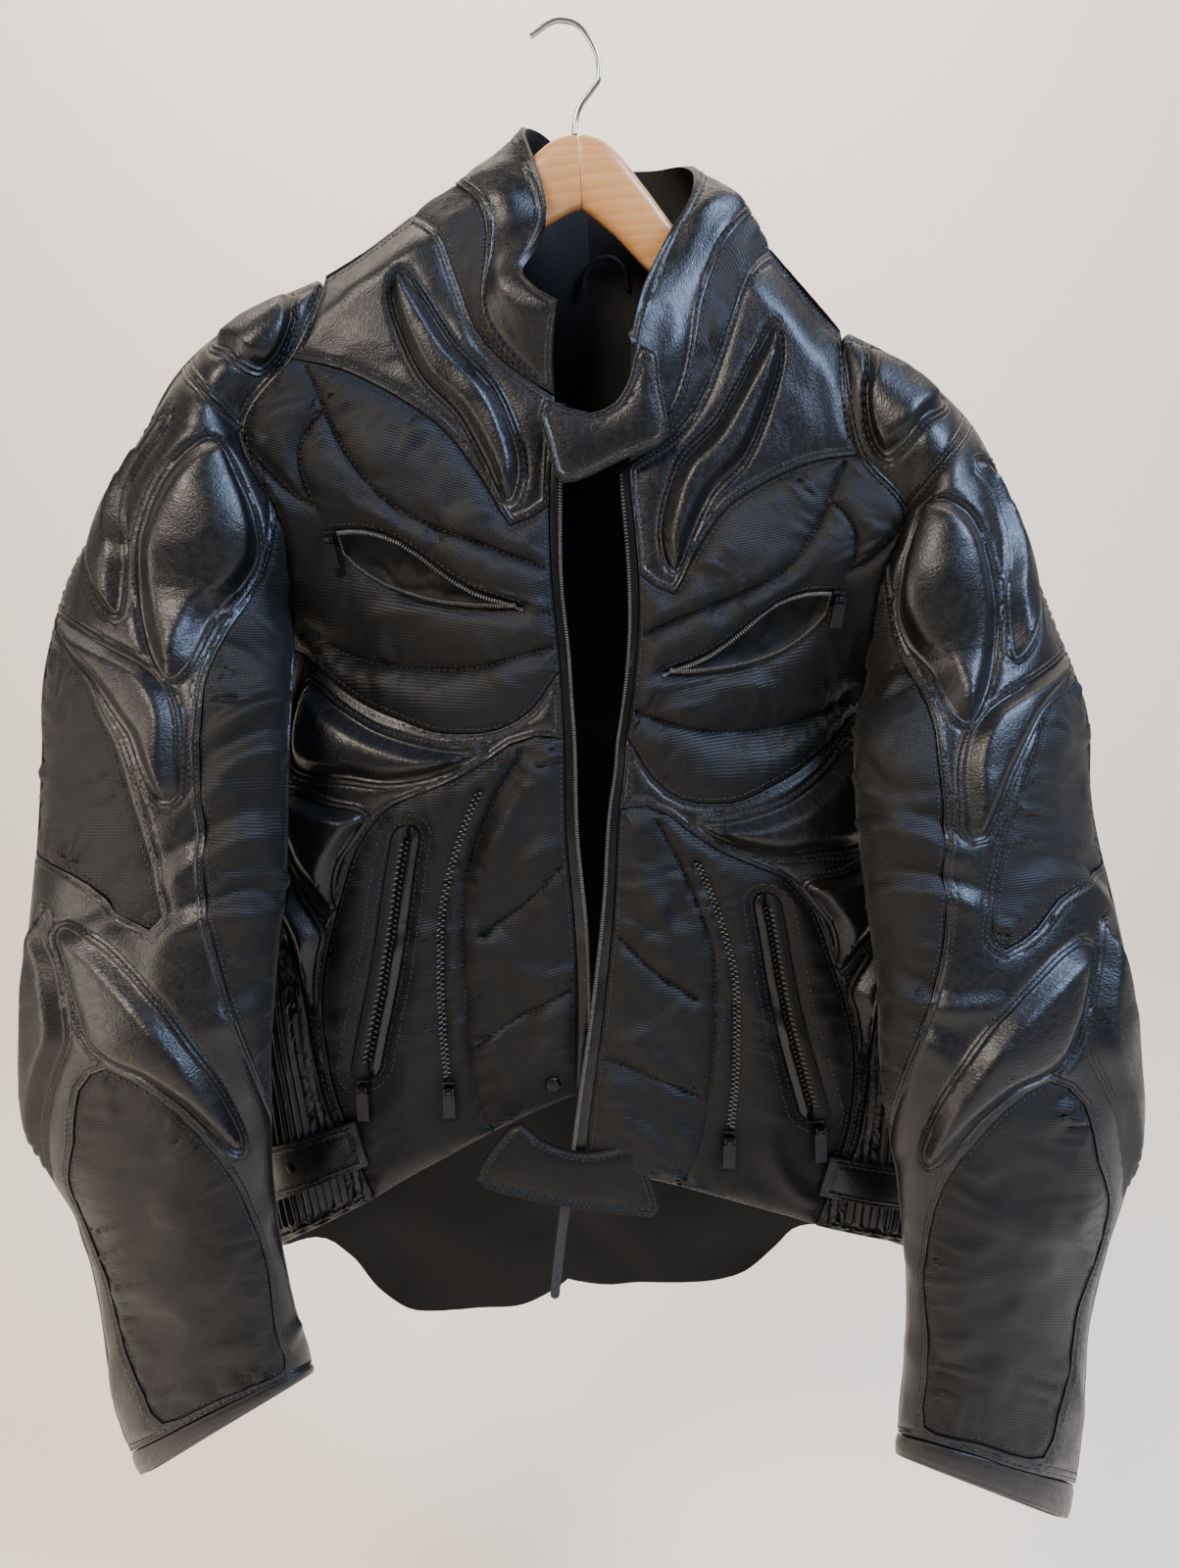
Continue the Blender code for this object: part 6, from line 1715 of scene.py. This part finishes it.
def hanger_half(name, x0, x1):
    """One half of the bar, lofted from the table between two stations, with softened ends."""
    stations = np.linspace(x0, x1, 60)
    turns = np.linspace(0, 2 * math.pi, 49)[:-1]
    points = []
    for x in stations:
        row = {key: float(along(WOOD_ROWS["x"], column, x)) for key, column in WOOD_ROWS.items()}
        end = min(abs(x - x0), abs(x - x1))
        soft = 1.0 - 0.06 * math.exp(-end / 0.9)
        middle, tall = (row["top"] + row["low"]) / 2, (row["top"] - row["low"]) / 2 * soft
        for turn in turns:
            c, s = math.cos(turn), math.sin(turn)
            y = row["half"] * soft * math.copysign(abs(c) ** BAR_SQUARE[0], c)
            points.append((x, y, middle + tall * math.copysign(abs(s) ** BAR_SQUARE[1], s)))
    count, last = len(turns), (len(stations) - 1) * len(turns)
    faces = [(k + i, k + (i + 1) % count, k + count + (i + 1) % count, k + count + i)
             for k in range(0, last, count) for i in range(count)]
    faces += [tuple(range(count))[::-1], tuple(range(last, last + count))]
    made = new_mesh(name, points, faces, [FINISHES["maple"]])
    turn_outward(made)
    made.data.set_sharp_from_angle(angle=math.radians(60))
    ride(made, "maple")
    return made


# %% Hook and loop
def wire(name, points, radius, slot, finish, sides=6):
    """A bent wire or cord: a curve with a round bevel, turned to a mesh."""
    curve = bpy.data.curves.new(name, "CURVE")
    curve.dimensions = "3D"
    curve.bevel_depth = radius / 1000
    curve.bevel_resolution = sides
    curve.use_fill_caps = True
    spline = curve.splines.new("POLY")
    spline.points.add(len(points) - 1)
    for spot, point in zip(spline.points, points):
        spot.co = (*(np.array(point) / 1000), 1)
    made = bpy.data.objects.new(name, curve)
    bpy.context.scene.collection.objects.link(made)
    bpy.ops.object.select_all(action="DESELECT")
    made.select_set(True)
    bpy.context.view_layer.objects.active = made
    bpy.ops.object.convert(target="MESH")
    made.data.materials.clear()
    made.data.materials.append(FINISHES[finish])
    made.data.shade_smooth()
    made.data.set_sharp_from_angle(angle=math.radians(50))
    turn_outward(made)
    ride(made, slot)
    return made


GLUE_LINE, GLUE_HALF = 4.0, 0.15
left_half = hanger_half("hanger_left_half", WOOD_ROWS["x"][0], GLUE_LINE - GLUE_HALF)
hanger_half("hanger_right_half", GLUE_LINE + GLUE_HALF, WOOD_ROWS["x"][-1])
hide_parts("hanger_wood")
hook = wire("hook_wire", [(u, 0, v) for u, v in smooth_line(HOOK, 1.2)], HOOK_WIRE, "steel", "steel")
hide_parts("hanger_hook")
u, v = smooth_line(LOOP, 1.5).T
bow = 3 * np.sin(math.pi * (u - LOOP[0][0]) / (LOOP[-1][0] - LOOP[0][0]))
loop_tape = wire("hanging_loop_tape", seen(u, v, LOOP_DEPTH - bow), LOOP_CORD, "textile", "tape", 3)
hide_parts("hanging_loop")

# %% [markdown]
# ## Sliders, pull tabs and snaps
#
# Zip sliders are die-cast zinc with a gunmetal finish: a body with two flared lips and a bridge, and a flat
# tab that swings on it. They are small and sharp-edged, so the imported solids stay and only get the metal.

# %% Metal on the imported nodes
for name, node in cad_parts.items():
    if name.endswith(METAL):
        node.data.materials.clear()
        node.data.materials.append(FINISHES["dark_metal"])

# %% [markdown]
# ## Light, floor and camera
#
# The studio is a pale wall far behind the jacket and a pale floor below it. A large cool light stands high
# on the right like a window, and a weaker warm one high on the left. A low bounce keeps the black leather
# readable, and a long light washes the wall, so that the jacket stands dark against it.

# %% Wall and floor
ROOM_HALF, WALL_Y, FLOOR_Z, ROOM_TOP = 4000, 1800, -1150, 3000


def slab(name, near_y, far_y, top, code):
    """A plain painted quad, from the floor's height at near_y to the top at far_y."""
    material, _, shader = start(name + " paint", 0.75)
    shader.inputs["Base Color"].default_value = linear(code)
    corners = [(-ROOM_HALF, near_y, FLOOR_Z), (ROOM_HALF, near_y, FLOOR_Z), (ROOM_HALF, far_y, top),
               (-ROOM_HALF, far_y, top)]
    new_mesh(name, corners, [(0, 1, 2, 3)], [material])


slab("floor", -ROOM_HALF, WALL_Y, FLOOR_Z, "#f6ecdb")
slab("wall", WALL_Y, WALL_Y, ROOM_TOP, "#f9efdc")


# %% Lights and camera
def area_light(name, place, target, size, power, code):
    """A rectangular light at a place, in metres, turned to its target."""
    light = bpy.data.lights.new(name, "AREA")
    light.shape = "RECTANGLE"
    light.size, light.size_y = size
    light.energy = power
    light.color = linear(code)[:3]
    lamp = bpy.data.objects.new(name, light)
    lamp.location = place
    lamp.rotation_euler = (Vector(target) - Vector(place)).to_track_quat("-Z", "Y").to_euler()
    bpy.context.scene.collection.objects.link(lamp)


MIDDLE_OF_JACKET = (0, 0, -0.45)
area_light("window", (1.5, -0.9, 0.9), MIDDLE_OF_JACKET, (0.7, 1.3), 100, "#bcd3ff")
area_light("room", (-1.1, -1.7, 1.2), MIDDLE_OF_JACKET, (0.9, 0.8), 72, "#fff0e0")
area_light("wall wash", (0, 0.7, 1.7), (0, 1.8, -0.5), (3.0, 0.4), 55, "#fff3e2")
area_light("bounce", (-1.7, -0.6, -0.3), MIDDLE_OF_JACKET, (0.7, 1.4), 20, "#fff0dd")
world = bpy.data.worlds.new("studio")
world.use_nodes = True
world.node_tree.nodes["Background"].inputs["Color"].default_value = linear("#cfd6e2")
world.node_tree.nodes["Background"].inputs["Strength"].default_value = 0.3
bpy.context.scene.world = world

PITCH, ROLL = math.radians(9.0), math.radians(3.0)
FOCAL_PIXELS, PHOTO_HEIGHT, FILM = 1202.0, 1600, 36.0
ahead = Vector((0, math.cos(PITCH), -math.sin(PITCH)))
down = Vector((0, -math.sin(PITCH), -math.cos(PITCH)))
right = math.cos(ROLL) * Vector((1, 0, 0)) + math.sin(ROLL) * down
below = -math.sin(ROLL) * Vector((1, 0, 0)) + math.cos(ROLL) * down
lens = bpy.data.cameras.new("photo")
lens.sensor_width = FILM
lens.lens = FOCAL_PIXELS / PHOTO_HEIGHT * FILM
lens.clip_end = 50
camera = bpy.data.objects.new("photo", lens)
camera.matrix_world = Matrix((right, -below, -ahead)).transposed().to_4x4()
camera.location = EYE / 1000
bpy.context.scene.collection.objects.link(camera)
bpy.context.scene.camera = camera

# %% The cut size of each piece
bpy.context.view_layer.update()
for name, piece in PIECES.items():
    print(name, "cut", [round(1000 * side) for side in piece["cut"]])
